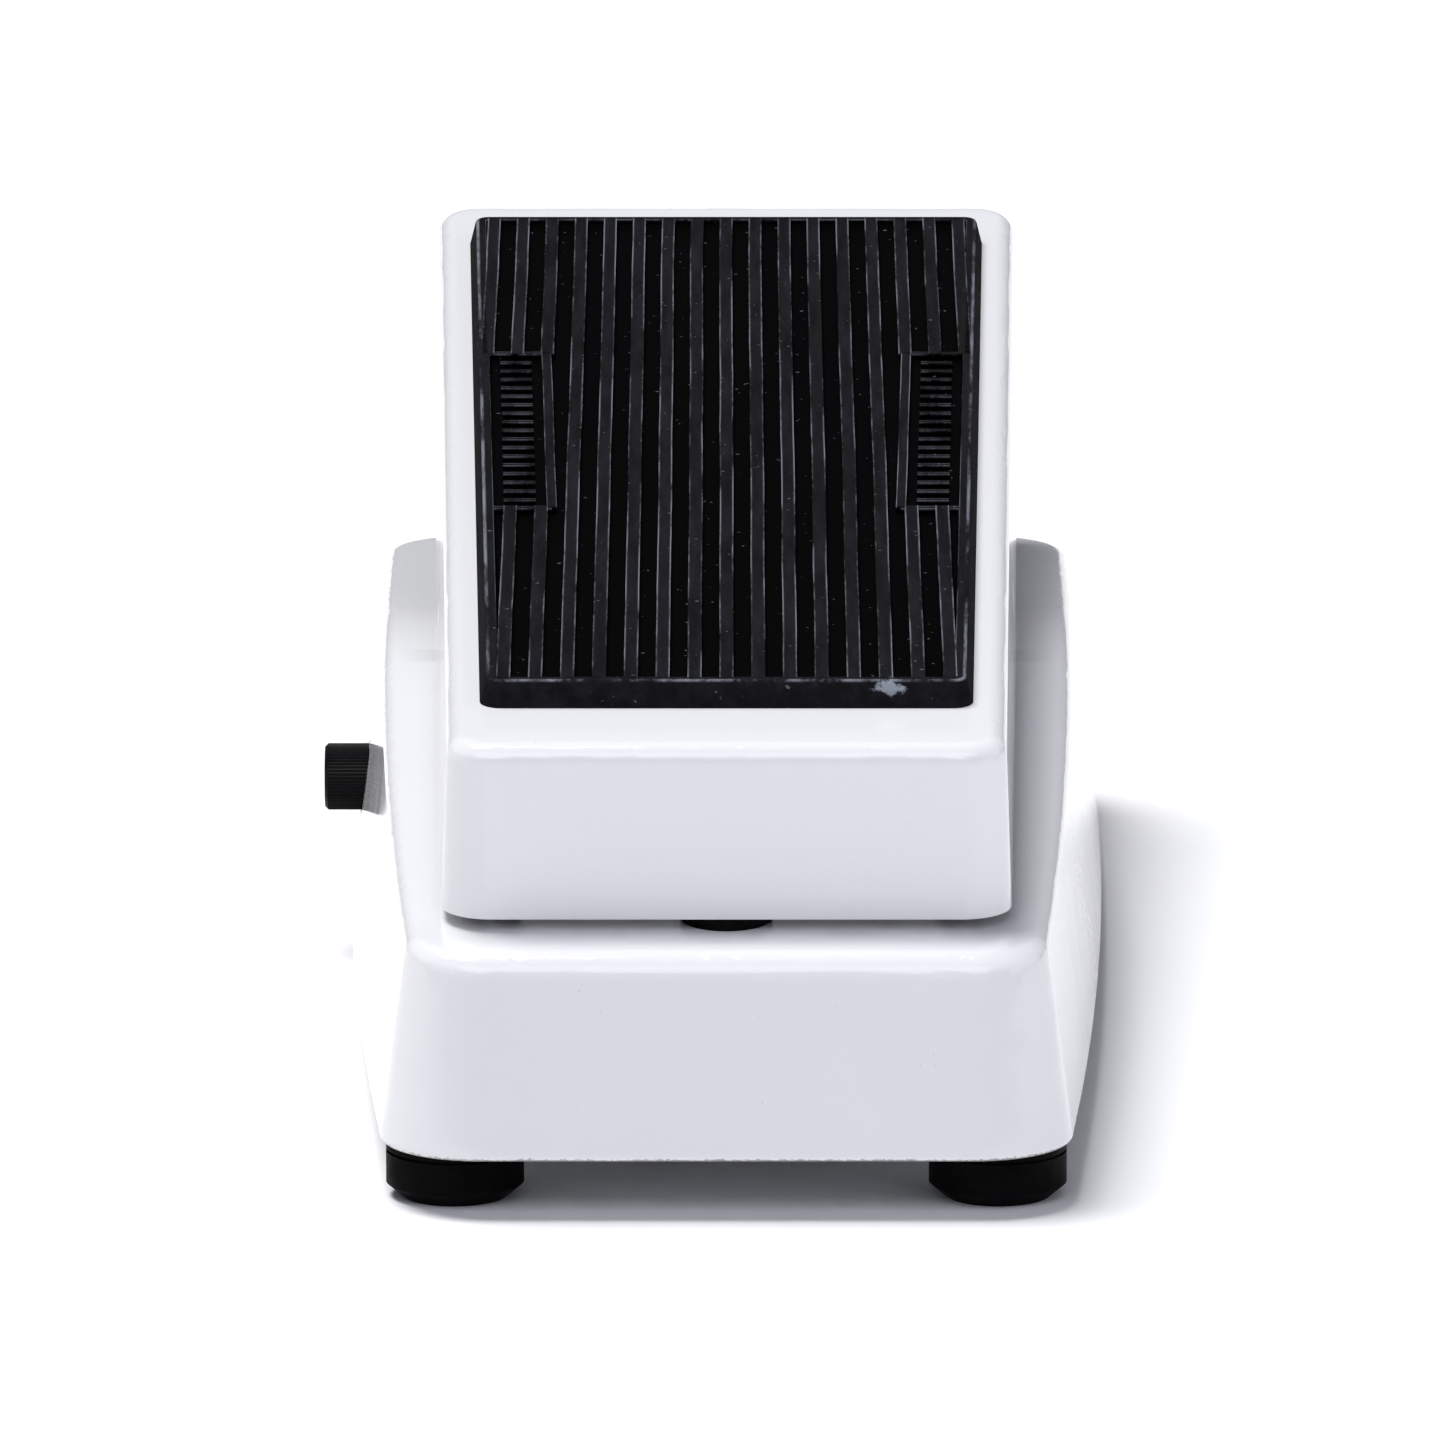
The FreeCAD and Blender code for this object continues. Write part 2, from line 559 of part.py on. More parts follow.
# --- pivot ----------------------------------------------------------------------------------------
def make_pivot_bushings():
    """A flanged sleeve in each lug, its flange on the outer side."""
    sleeves = []
    for side in (-1, 1):
        start = (side * (LUG_X - LUG_T / 2), 0, PIVOT.z)
        outer = (side * (LUG_X + LUG_T / 2), 0, PIVOT.z)
        body = rod(ROD_R + BUSH_WALL, start, (side, 0, 0), LUG_T)
        flange_r = ROD_R + BUSH_WALL + BUSH_FLANGE_W
        body = body.fuse(rod(flange_r, outer, (side, 0, 0), BUSH_FLANGE_T))
        body = body.cut(rod(ROD_R + RUN_FIT, (-FAR / 2, 0, PIVOT.z), (1, 0, 0), FAR))
        sleeves.append(body.removeSplitter())
    return sleeves


def skirt_half_width(t, s):
    """Half width of the treadle's outside at deck distance s and height t."""
    share = (s - TREADLE_HEEL_END) / (TREADLE_TOE_END - TREADLE_HEEL_END)
    width = TREADLE_HEEL_WIDTH + share * (TREADLE_TOE_WIDTH - TREADLE_HEEL_WIDTH)
    return width / 2 + (DECK_TOP - t) * math.tan(math.radians(TREADLE_DRAFT))


ROD_HALF = skirt_half_width(0, 0) - ROD_END_GAP
HANGER_X = ROD_HALF - TREADLE_WALL_T - HANGER_T / 2 + 0.5


def make_pivot_rod():
    return rod(ROD_R, (-ROD_HALF, 0, PIVOT.z), (1, 0, 0), 2 * ROD_HALF)


def grub_screw(x):
    low = PIVOT.z - HANGER_R - 1.0
    return rod(GRUB_R, (x, 0, low), (0, 0, 1), PIVOT.z - ROD_R - low)


def make_pivot_set_screws():
    sockets = []
    for side in (-1, 1):
        x = side * HANGER_X
        low = PIVOT.z - HANGER_R - 1.0
        sockets.append(grub_screw(x).cut(rod(GRUB_R / 2, (x, 0, low), (0, 0, 1), GRUB_R)))
    return sockets


# --- treadle --------------------------------------------------------------------------------------
def from_deck(shape):
    """Takes a shape drawn on a level deck, with the rod axis at the origin, to its rest place."""
    placed = shape.copy()
    placed.rotate(Vector(0, 0, 0), Vector(1, 0, 0), TREADLE_TILT)
    placed.translate(PIVOT)
    return placed


def to_rest(shape):
    """Takes a shape drawn with the toe pressed down back to the heel-down rest."""
    placed = shape.copy()
    placed.rotate(PIVOT, Vector(1, 0, 0), TRAVEL)
    return placed


def make_treadle():
    slope = math.tan(math.radians(TREADLE_DRAFT))
    low = DECK_TOP - SKIRT_DEPTH
    outer = drafted(TREADLE_PLAN, low, DECK_TOP, -SKIRT_DEPTH * slope, slope)
    rim = [e for e in outer.Edges if e.BoundBox.ZMin > DECK_TOP - 0.01]
    outer = outer.makeFillet(TREADLE_RIM_R, rim)
    inner_top = DECK_TOP - DECK_T
    spread = (SKIRT_DEPTH + 1) * slope
    inner = drafted(TREADLE_PLAN, low - 1, inner_top, TREADLE_WALL_T - spread, slope)
    shell = from_deck(outer.cut(inner))
    inside = drafted(TREADLE_PLAN, low - 1, inner_top + 1, TREADLE_WALL_T / 2 - spread, slope)
    inside = from_deck(inside)

    for side in (-1, 1):
        x0 = side * HANGER_X - HANGER_T / 2
        web = prism_x([
            (-HANGER_R, PIVOT.z), (HANGER_R, PIVOT.z), (HANGER_R + 4, FAR / 4), (-HANGER_R - 4, FAR / 4),
        ], x0, x0 + HANGER_T)
        boss = rod(HANGER_R, (x0, 0, PIVOT.z), (1, 0, 0), HANGER_T)
        block = box(x0, x0 + HANGER_T, -GRUB_R - 2, GRUB_R + 2, PIVOT.z - HANGER_R - 1, PIVOT.z)
        shell = shell.fuse(web.fuse([boss, block]).common(inside))

    half = RACK_W / 2 + CLEVIS_GAP
    for side in (-1, 1):
        x0, x1 = sorted((side * half, side * (half + CLEVIS_T)))
        ear = prism_x([
            (PIN_Y - CLEVIS_R, PIN_Z), (PIN_Y + CLEVIS_R, PIN_Z),
            (PIN_Y + CLEVIS_R + 2, PIN_Z + FAR / 8), (PIN_Y - CLEVIS_R - 2, PIN_Z + FAR / 8),
        ], x0, x1)
        ear = ear.fuse(rod(CLEVIS_R, (x0, PIN_Y, PIN_Z), (1, 0, 0), CLEVIS_T))
        shell = shell.fuse(ear.common(inside))

    walls_low = under_roof(SKIRT_GAP)
    shell = shell.cut(walls_low).cut(to_rest(walls_low))
    heel_top = roof_z(HEEL_BUMPER_Y) + BUMPER_T + REST_GAP
    heel_stud = rod(STUD_R, (0, HEEL_BUMPER_Y, heel_top), (0, 0, 1), FAR / 4).common(inside)
    toe_top = roof_z(TOE_BUMPER_Y) + BUMPER_T + REST_GAP
    toe_stud = to_rest(rod(STUD_R, (0, TOE_BUMPER_Y, toe_top), (0, 0, 1), FAR / 4)).common(inside)
    shell = shell.fuse([heel_stud, toe_stud])

    shell = shell.cut(rod(ROD_R + TOUCH_FIT, (-FAR / 2, 0, PIVOT.z), (1, 0, 0), FAR))
    shell = shell.cut(rod(PIN_R + TOUCH_FIT, (-FAR / 2, PIN_Y, PIN_Z), (1, 0, 0), FAR).common(
        box(-half - CLEVIS_T - 2, half + CLEVIS_T + 2, -FAR, FAR, -FAR, FAR)))
    for side in (-1, 1):
        x = side * HANGER_X
        low_z = PIVOT.z - HANGER_R - 2
        shell = shell.cut(rod(GRUB_R + TOUCH_FIT, (x, 0, low_z), (0, 0, 1), PIVOT.z - low_z))
    return shell


def pad_side_strip(side, depth, s0, s1, z0, z1):
    """A block along one side of the pad, from its leaning edge to a depth inside it."""
    corners = []
    for s, inset in ((s0, 0.0), (s1, 0.0), (s1, depth), (s0, depth)):
        share = (s - PAD_HEEL_END) / (PAD_TOE_END - PAD_HEEL_END)
        half = (PAD_HEEL_WIDTH + share * (PAD_TOE_WIDTH - PAD_HEEL_WIDTH)) / 2
        corners.append(Vector(side * (half - inset), s, z0))
    return Part.Face(Part.makePolygon(corners + corners[:1])).extrude(Vector(0, 0, z1 - z0))


def make_tread_pad():
    """A rubber slab with leaning sides, long grooves inside a raised rim, and two sunk panels."""
    slope = math.tan(math.radians(PAD_BEVEL))
    top_z = DECK_TOP + PAD_T
    pad = drafted(PAD_PLAN, DECK_TOP, top_z, 0.0, slope)
    pad = pad.makeFillet(PAD_EDGE_R, [e for e in pad.Edges if e.BoundBox.ZMin > top_z - 0.01])
    within_rim = drafted(PAD_PLAN, DECK_TOP, top_z + PAD_T, PAD_RIM_W, slope)
    floor_z = top_z - GROOVE_DEPTH
    cuts = []
    for i in range(GROOVE_COUNT):
        x = (i - (GROOVE_COUNT - 1) / 2) * GROOVE_PITCH
        half = GROOVE_WIDTH / 2
        cuts.append(box(x - half, x + half, PAD_HEEL_END, PAD_TOE_END, floor_z, top_z + 1))
    sunk = Part.makeCompound(cuts).common(within_rim)
    panel_depth = slope * PAD_T + PAD_RIM_W + PANEL_WIDTH
    for side in (-1, 1):
        sunk = sunk.cut(pad_side_strip(
            side, panel_depth + PANEL_BORDER, PANEL_HEEL_END, PANEL_TOE_END, DECK_TOP, top_z + 2))
    pad = pad.cut(sunk)
    for side in (-1, 1):
        panel = pad_side_strip(
            side, panel_depth, PANEL_HEEL_END + PANEL_END_BAR, PANEL_TOE_END - PANEL_END_BAR,
            floor_z, top_z + 1)
        pad = pad.cut(panel.common(within_rim))
    return from_deck(pad)


def make_bumper(y):
    disc = rod(BUMPER_R, (0, y, roof_z(y) - ROOF_T), (0, 0, 1), ROOF_T + BUMPER_T)
    return disc.cut(under_roof(0.0))


# --- rack and pinion ------------------------------------------------------------------------------
def make_gear_rack():
    """Toothed on the heel side. Its head holds the treadle's pin in a slot with a little play."""
    pitch = math.pi * MODULE
    tan = math.tan(math.radians(PRESSURE_ANGLE))
    back = RACK_Y + RACK_D / 2
    tip, root = PITCH_LINE_Y - MODULE, PITCH_LINE_Y + 1.25 * MODULE
    low = MAIN_AXIS_Z - RACK_RUNOUT
    top_tooth = MAIN_AXIS_Z + RACK_DROP + RACK_RUNOUT
    outline = [(back, low), (root, low)]
    first = -int(RACK_RUNOUT / pitch)
    last = int((top_tooth - MAIN_AXIS_Z) / pitch)
    half = pitch / 4 - BACKLASH / 4
    for k in range(first, last + 1):
        z = MAIN_AXIS_Z + k * pitch
        wide, narrow = half + 1.25 * MODULE * tan, half - MODULE * tan
        outline += [(root, z - wide), (tip, z - narrow), (tip, z + narrow), (root, z + wide)]
    outline += [(root, PIN_Z), (back, PIN_Z)]
    bar = prism_x(outline, -RACK_W / 2, RACK_W / 2)
    reach = PIN_Y_DOWN - PIN_Y
    hole_r = PIN_R + EYE_FIT
    y0, y1 = sorted((PIN_Y, PIN_Y + reach))
    head_r = hole_r + EYE_WALL
    eye = box(-RACK_W / 2, RACK_W / 2, y0, y1, PIN_Z - head_r, PIN_Z + head_r)
    hole = box(-FAR, FAR, y0, y1, PIN_Z - hole_r, PIN_Z + hole_r)
    for y in (y0, y1):
        eye = eye.fuse(rod(head_r, (-RACK_W / 2, y, PIN_Z), (1, 0, 0), RACK_W))
        hole = hole.fuse(rod(hole_r, (-FAR, y, PIN_Z), (1, 0, 0), 2 * FAR))
    return bar.fuse(eye).cut(hole).removeSplitter()


def pinion_outline():
    """Involute teeth round the pinion's axis, with a space facing the rack."""
    base_r = PITCH_R * math.cos(math.radians(PRESSURE_ANGLE))
    tip_r, root_r = PITCH_R + MODULE, PITCH_R - 1.25 * MODULE

    def involute(r):
        angle = math.acos(min(1.0, base_r / r))
        return math.tan(angle) - angle

    half = math.pi / (2 * PINION_TEETH) - BACKLASH / 4 / PITCH_R
    flank = [max(base_r, root_r) + (tip_r - max(base_r, root_r)) * i / 5 for i in range(6)]
    points = []
    for tooth in range(PINION_TEETH):
        middle = (tooth + 0.5) * 2 * math.pi / PINION_TEETH
        rising = [(r, -(half + involute(PITCH_R) - involute(r))) for r in flank]
        if root_r < base_r:
            rising.insert(0, (root_r, rising[0][1]))
        profile = rising + [(r, -a) for r, a in reversed(rising)]
        for r, a in profile:
            points.append((PINION_Y + r * math.cos(middle + a), MAIN_AXIS_Z + r * math.sin(middle + a)))
    return points


def make_pinion():
    half = PINION_W / 2
    gear = prism_x(pinion_outline(), -half, half)
    gear = gear.fuse(rod(HUB_R, (half, PINION_Y, MAIN_AXIS_Z), (1, 0, 0), HUB_W))
    bore = MAIN_POT["shaft_r"] + TOUCH_FIT
    gear = gear.cut(rod(bore, (-FAR, PINION_Y, MAIN_AXIS_Z), (1, 0, 0), 2 * FAR))
    x = half + HUB_W / 2
    gear = gear.cut(rod(SCREW_R + TOUCH_FIT, (x, PINION_Y, MAIN_AXIS_Z), (0, -1, 0), FAR))
    return gear.removeSplitter()


def make_pinion_set_screw():
    x = PINION_W / 2 + HUB_W / 2
    start = (x, PINION_Y - MAIN_POT["shaft_r"], MAIN_AXIS_Z)
    length = HUB_R - MAIN_POT["shaft_r"] - 0.3
    body = rod(SCREW_R, start, (0, -1, 0), length)
    return body.cut(rod(SCREW_R / 2, (x, start[1] - length, MAIN_AXIS_Z), (0, 1, 0), SCREW_R))


def make_rack_pin():
    reach = RACK_W / 2 + CLEVIS_GAP + CLEVIS_T
    head = rod(PIN_R + PIN_HEAD, (-reach - PIN_HEAD, PIN_Y, PIN_Z), (1, 0, 0), PIN_HEAD)
    length = 2 * reach + CLIP_T + PIN_TIP
    return head.fuse(rod(PIN_R, (-reach, PIN_Y, PIN_Z), (1, 0, 0), length)).removeSplitter()


def make_rack_clip():
    x = RACK_W / 2 + CLEVIS_GAP + CLEVIS_T + TOUCH_FIT
    start = (x, PIN_Y, PIN_Z)
    clip = ring(PIN_R + CLIP_W, PIN_R + TOUCH_FIT, start, (1, 0, 0), CLIP_T)
    half = PIN_R / 2
    low = PIN_Z - 2 * PIN_R - CLIP_W
    return clip.cut(box(x - 1, x + 2 * CLIP_T, PIN_Y - half, PIN_Y + half, low, PIN_Z - half))


def make_rack_guide():
    """A block behind the rack, with two cheeks that keep it straight, screwed to the bracket."""
    back = RACK_Y + RACK_D / 2 + GUIDE_FIT
    half = RACK_W / 2 + GUIDE_FIT
    z0, z1 = MAIN_AXIS_Z - GUIDE_H / 2, MAIN_AXIS_Z + GUIDE_H / 2
    outer = half + GUIDE_WALL
    body = box(-outer, MAIN_BRACKET_X, back - GUIDE_CHEEK, back + GUIDE_T, z0, z1)
    body = body.cut(box(-half, half, back - FAR, back, z0 - 1, z1 + 1))
    body = body.cut(box(outer, MAIN_BRACKET_X, back - FAR, back - GUIDE_RELIEF, z0 - 1, z1 + 1))
    for z in guide_screw_heights():
        start = (MAIN_BRACKET_X, guide_screw_y(), z)
        body = body.cut(rod(GUIDE_SCREW_R + TOUCH_FIT, start, (-1, 0, 0), GUIDE_SCREW_GRIP + 0.5))
    return body


def guide_screw_y():
    return RACK_Y + RACK_D / 2 + GUIDE_FIT + GUIDE_T / 2


def guide_screw_heights():
    return [MAIN_AXIS_Z - GUIDE_H / 4, MAIN_AXIS_Z + GUIDE_H / 4]


def make_rack_guide_screws():
    face = MAIN_BRACKET_X + BRACKET_T
    screws = []
    for z in guide_screw_heights():
        start = (face, guide_screw_y(), z)
        shank = rod(GUIDE_SCREW_R, start, (-1, 0, 0), BRACKET_T + GUIDE_SCREW_GRIP)
        head = rod(GUIDE_SCREW_HEAD_R, start, (1, 0, 0), GUIDE_SCREW_HEAD_H)
        screws.append(shank.fuse(head).removeSplitter())
    return screws


# --- potentiometers -------------------------------------------------------------------------------
def make_bracket(b):
    """An angle of sheet steel: a flange under the roof and a plate that holds one potentiometer."""
    face = b["x"] + BRACKET_T
    plate = box(b["x"], face, b["y0"], b["y1"], b["bottom"], b["top"])
    flange = box(b["x"], face + FLANGE_W, b["y0"], b["y1"], b["top"] - BRACKET_T, b["top"])
    body = plate.fuse(flange).removeSplitter()
    bore = b["pot"]["bush_r"] + TOUCH_FIT
    body = body.cut(rod(bore, (b["x"] - 1, b["axis_y"], b["axis_z"]), (1, 0, 0), BRACKET_T + 2))
    for x, y in bracket_screw_places(b):
        body = body.cut(rod(SCREW_R + TOUCH_FIT, (x, y, b["top"] - 5), (0, 0, 1), 10))
    if b["pot"] is MAIN_POT:
        for z in guide_screw_heights():
            start = (b["x"] - 1, guide_screw_y(), z)
            body = body.cut(rod(GUIDE_SCREW_R + TOUCH_FIT, start, (1, 0, 0), BRACKET_T + 2))
    return body


def make_bracket_screws(b):
    z = b["top"] - BRACKET_T
    length = BRACKET_T + BRACKET_SCREW_GRIP
    return [screw((x, y, z), 1, length) for x, y in bracket_screw_places(b)]


def pot_pieces(b, shaft_tip_x):
    """The still and turning pieces of one potentiometer, whose shaft points to -X."""
    pot = b["pot"]
    y, z = b["axis_y"], b["axis_z"]
    face = b["x"] + BRACKET_T
    can_r, shaft_r, bush_r = pot["can_r"], pot["shaft_r"], pot["bush_r"]
    name = pot["name"]

    front = b["x"] - WASHER_T - pot["nut_t"]
    bush = rod(bush_r, (front - POT_BUSH_TIP, y, z), (1, 0, 0), face - front + POT_BUSH_TIP)
    bush = bush.fuse(rod(can_r, (face, y, z), (1, 0, 0), POT_LID_T))
    bush = bush.cut(rod(shaft_r + RUN_FIT, (front - FAR, y, z), (1, 0, 0), 2 * FAR))

    x = face + POT_LID_T
    can = rod(can_r, (x, y, z), (1, 0, 0), pot["can_len"])
    can = can.cut(rod(can_r - POT_SKIN, (x, y, z), (1, 0, 0), pot["can_len"] - POT_SKIN))
    tag_half = TAG_PITCH + TAG_W / 2 + 0.5
    window = box(x, x + POT_TRACK_T + 0.2, y - FAR, y, z - tag_half, z + tag_half)
    can = can.cut(window)

    track = ring(can_r - POT_SKIN - TOUCH_FIT, shaft_r + LOOSE_FIT, (x, y, z), (1, 0, 0), POT_TRACK_T)
    for k in (-1, 0, 1):
        zc = z + k * TAG_PITCH * can_r / MAIN_POT["can_r"]
        tag = box(x, x + TAG_T, y - can_r - TAG_LENGTH, y - can_r * 0.7, zc - TAG_W / 2, zc + TAG_W / 2)
        tag = tag.cut(rod(TAG_HOLE_R, (x - 1, y - can_r - TAG_LENGTH + 1, zc), (1, 0, 0), 3))
        track = track.fuse(tag)

    wiper_x = x + POT_TRACK_T + POT_WIPER_GAP
    wiper_r = can_r - POT_SKIN - LOOSE_FIT
    wiper = ring(wiper_r, shaft_r + TOUCH_FIT, (wiper_x, y, z), (1, 0, 0), POT_WIPER_T)
    shaft_end = wiper_x + POT_WIPER_T
    shaft = rod(shaft_r, (shaft_tip_x, y, z), (1, 0, 0), shaft_end - shaft_tip_x)

    washer_x = b["x"] - WASHER_T
    washer = ring(bush_r + WASHER_W, bush_r + TOUCH_FIT, (washer_x, y, z), (1, 0, 0), WASHER_T)
    across = 2 * bush_r * NUT_AF_RATIO
    nut = hex_nut(across, bush_r + TOUCH_FIT, (front, y, z), (1, 0, 0), pot["nut_t"])
    return {
        name + "_bushing": bush.removeSplitter(),
        name + "_can": can,
        name + "_track": track.removeSplitter(),
        name + "_washer": washer,
        name + "_nut": nut,
        name + "_wiper": wiper,
        name + "_shaft": shaft,
    }


# --- side knob ------------------------------------------------------------------------------------
def make_side_knob():
    """A ribbed push-on knob with a recessed bore for the shaft."""
    points = []
    for i in range(2 * KNOB_RIBS):
        r = KNOB_R - (i % 2) * KNOB_RIB_DEPTH
        a = math.pi * i / KNOB_RIBS
        points.append((KNOB_Y + r * math.cos(a), KNOB_Z + r * math.sin(a)))
    body = prism_x(points, KNOB_TIP_X, KNOB_BACK_X)
    flare = FAR / 10
    tip = Vector(KNOB_TIP_X, KNOB_Y, KNOB_Z)
    cone = Part.makeCone(KNOB_R - KNOB_BEVEL, KNOB_R + flare, KNOB_BEVEL + flare, tip, Vector(1, 0, 0))
    body = body.common(cone)
    bore = LEVEL_POT["shaft_r"] + TOUCH_FIT
    start = (KNOB_TIP_X + KNOB_CAP_T, KNOB_Y, KNOB_Z)
    body = body.cut(rod(bore, start, (1, 0, 0), FAR))
    half = POINTER_W / 2
    pointer = box(
        KNOB_TIP_X - 1, KNOB_TIP_X + POINTER_D, KNOB_Y - half, KNOB_Y + half, KNOB_Z, KNOB_Z + KNOB_R)
    return body.cut(pointer)


# --- jacks ----------------------------------------------------------------------------------------
def jack_pieces(name, side):
    """A quarter-inch jack: moulded body with a threaded bushing, its nut, washer and tags."""
    x = side * JACK_X
    back = JACK_MOUTH_Y - JACK_DEPTH - JACK_END_WALL
    half_w, half_h = JACK_BODY_W / 2, JACK_BODY_H / 2
    body = box(x - half_w, x + half_w, back, JACK_PAD_Y, JACK_Z - half_h, JACK_Z + half_h)
    body = body.fuse(rod(JACK_BUSH_R, (x, JACK_PAD_Y, JACK_Z), (0, 1, 0), JACK_MOUTH_Y - JACK_PAD_Y))
    body = body.cut(rod(JACK_BORE_R, (x, JACK_MOUTH_Y - JACK_DEPTH, JACK_Z), (0, 1, 0), FAR))
    body = body.removeSplitter()
    hole_r = JACK_BUSH_R + TOUCH_FIT
    nut_start = (x, JACK_SEAT_Y + WASHER_T, JACK_Z)
    nut = hex_nut(JACK_NUT_AF, hole_r, nut_start, (0, 1, 0), JACK_NUT_T - WASHER_T)
    washer = ring(JACK_WASHER_R, hole_r, (x, JACK_SEAT_Y, JACK_Z), (0, 1, 0), WASHER_T)
    tags = []
    for k in (-1, 0, 1):
        xt = x + k * JACK_TAG_PITCH
        tags.append(box(xt - TAG_W / 2, xt + TAG_W / 2, back - TAG_LENGTH, back,
                        JACK_Z - TAG_T / 2, JACK_Z + TAG_T / 2))
    return {name: body, name + "_nut": nut, name + "_washer": washer, name + "_tags": tags}


def wire_tube(points):
    """A wire along straight runs joined by tangent arcs."""
    points = [Vector(*p) for p in points]
    edges = []
    last = points[0]
    for a, b, c in zip(points, points[1:], points[2:]):
        into, out = (b - a).normalize(), (c - b).normalize()
        turn = into.getAngle(out)
        reach = 0.45 * min((b - a).Length, (c - b).Length)
        start, end = b - into * reach, b + out * reach
        inward = (out - into).normalize()
        radius = reach / math.tan(turn / 2)
        middle = b + inward * (radius / math.cos(turn / 2) - radius)
        edges += [Part.makeLine(last, start), Part.Arc(start, middle, end).toShape()]
        last = end
    edges.append(Part.makeLine(last, points[-1]))
    path = Part.Wire(edges)
    circle = Part.Wire(Part.Circle(points[0], points[1] - points[0], WIRE_R).toShape())
    return path.makePipeShell([circle], True, True)


def make_hookup_wires():
    """Leads from the main potentiometer's tags to both jacks, and from the level potentiometer."""
    main = BRACKETS["main_pot"]
    level = BRACKETS["level_pot"]
    stand_off = TAG_LENGTH + WIRE_R + WIRE_TAG_GAP
    jack_y = JACK_MOUTH_Y - JACK_DEPTH - JACK_END_WALL - stand_off
    low = PLATE_TOP + 2.5
    x = main["x"] + BRACKET_T + POT_LID_T + TAG_T / 2
    y = main["axis_y"] - MAIN_POT["can_r"] - stand_off
    level_x = level["x"] + BRACKET_T + POT_LID_T + TAG_T / 2
    level_y = level["axis_y"] - LEVEL_POT["can_r"] - stand_off
    to_input = [
        (x, y, MAIN_AXIS_Z), (x + 4, y - 8, MAIN_AXIS_Z - 5), (x + 18, y - 4, low + 3),
        (x + 24, y + 14, low), (x + 22, jack_y - 14, low), (JACK_X + JACK_TAG_PITCH, jack_y, JACK_Z),
    ]
    to_output = [
        (x, y, MAIN_AXIS_Z - TAG_PITCH), (x - 4, y - 9, low + 6), (x - 18, y - 6, low + 2),
        (x - 34, y + 12, low), (x - 38, jack_y - 16, low + 1),
        (-JACK_X - JACK_TAG_PITCH, jack_y, JACK_Z),
    ]
    between_pots = [
        (level_x, level_y, KNOB_Z), (level_x + 4, level_y - 8, KNOB_Z - 3),
        (level_x + 16, level_y - 9, low + 2), (level_x + 26, level_y + 4, low + 1),
        (x - 10, y - 6, MAIN_AXIS_Z + 2), (x, y, MAIN_AXIS_Z + TAG_PITCH),
    ]
    return [wire_tube(to_input), wire_tube(to_output), wire_tube(between_pots)]


# --- everything -----------------------------------------------------------------------------------
def build():
    pieces = {"housing": make_housing(), "base_plate": make_base_plate()}
    for name, (x, y) in FOOT_PLACES.items():
        pieces["foot_" + name] = make_foot(x, y)
    pieces["foot_screws"] = make_foot_screws()
    pieces["pivot_bushings"] = make_pivot_bushings()
    pieces["heel_bumper"] = make_bumper(HEEL_BUMPER_Y)
    pieces["toe_bumper"] = make_bumper(TOE_BUMPER_Y)
    for name, b in BRACKETS.items():
        pieces[name + "_bracket"] = make_bracket(b)
        pieces[name + "_bracket_screws"] = make_bracket_screws(b)
    pieces.update(pot_pieces(BRACKETS["main_pot"], -PINION_W / 2))
    pieces.update(pot_pieces(BRACKETS["level_pot"], KNOB_TIP_X + KNOB_CAP_T + SHAFT_END_GAP))
    pieces["rack_guide"] = make_rack_guide()
    pieces["rack_guide_screws"] = make_rack_guide_screws()
    pieces.update(jack_pieces("input_jack", 1))
    pieces.update(jack_pieces("output_jack", -1))
    pieces["hookup_wires"] = make_hookup_wires()
    pieces["treadle"] = make_treadle()
    pieces["tread_pad"] = make_tread_pad()
    pieces["pivot_rod"] = make_pivot_rod()
    pieces["pivot_set_screws"] = make_pivot_set_screws()
    pieces["rack_pin"] = make_rack_pin()
    pieces["rack_clip"] = make_rack_clip()
    pieces["gear_rack"] = make_gear_rack()
    pieces["pinion"] = make_pinion()
    pieces["pinion_set_screw"] = make_pinion_set_screw()
    pieces["side_knob"] = make_side_knob()
    return {
        name: Part.makeCompound(shape) if isinstance(shape, list) else shape
        for name, shape in pieces.items()
    }


os.makedirs("parts", exist_ok=True)
PIECES = build()
for node, solid in PIECES.items():
    solid.exportStep("parts/" + node + ".step")
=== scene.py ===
"""The looks of a volume pedal: enamelled castings, a ribbed rubber tread and the fittings inside."""

import json
import math

import bpy
import bmesh
from mathutils import Matrix, Vector


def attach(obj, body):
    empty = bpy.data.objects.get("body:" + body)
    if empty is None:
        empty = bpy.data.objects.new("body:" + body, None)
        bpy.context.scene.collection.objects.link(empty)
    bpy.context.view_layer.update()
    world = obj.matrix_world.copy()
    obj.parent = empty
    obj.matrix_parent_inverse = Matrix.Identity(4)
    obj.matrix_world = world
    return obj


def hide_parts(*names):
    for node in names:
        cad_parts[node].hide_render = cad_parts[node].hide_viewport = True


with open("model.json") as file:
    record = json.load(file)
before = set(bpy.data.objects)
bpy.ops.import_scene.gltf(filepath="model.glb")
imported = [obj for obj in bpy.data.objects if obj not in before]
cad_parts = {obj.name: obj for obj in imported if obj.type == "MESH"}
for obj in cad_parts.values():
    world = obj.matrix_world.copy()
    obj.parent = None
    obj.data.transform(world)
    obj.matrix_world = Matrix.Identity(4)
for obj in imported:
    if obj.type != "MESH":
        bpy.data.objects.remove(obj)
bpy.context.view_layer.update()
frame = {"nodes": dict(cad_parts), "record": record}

MM = 0.001

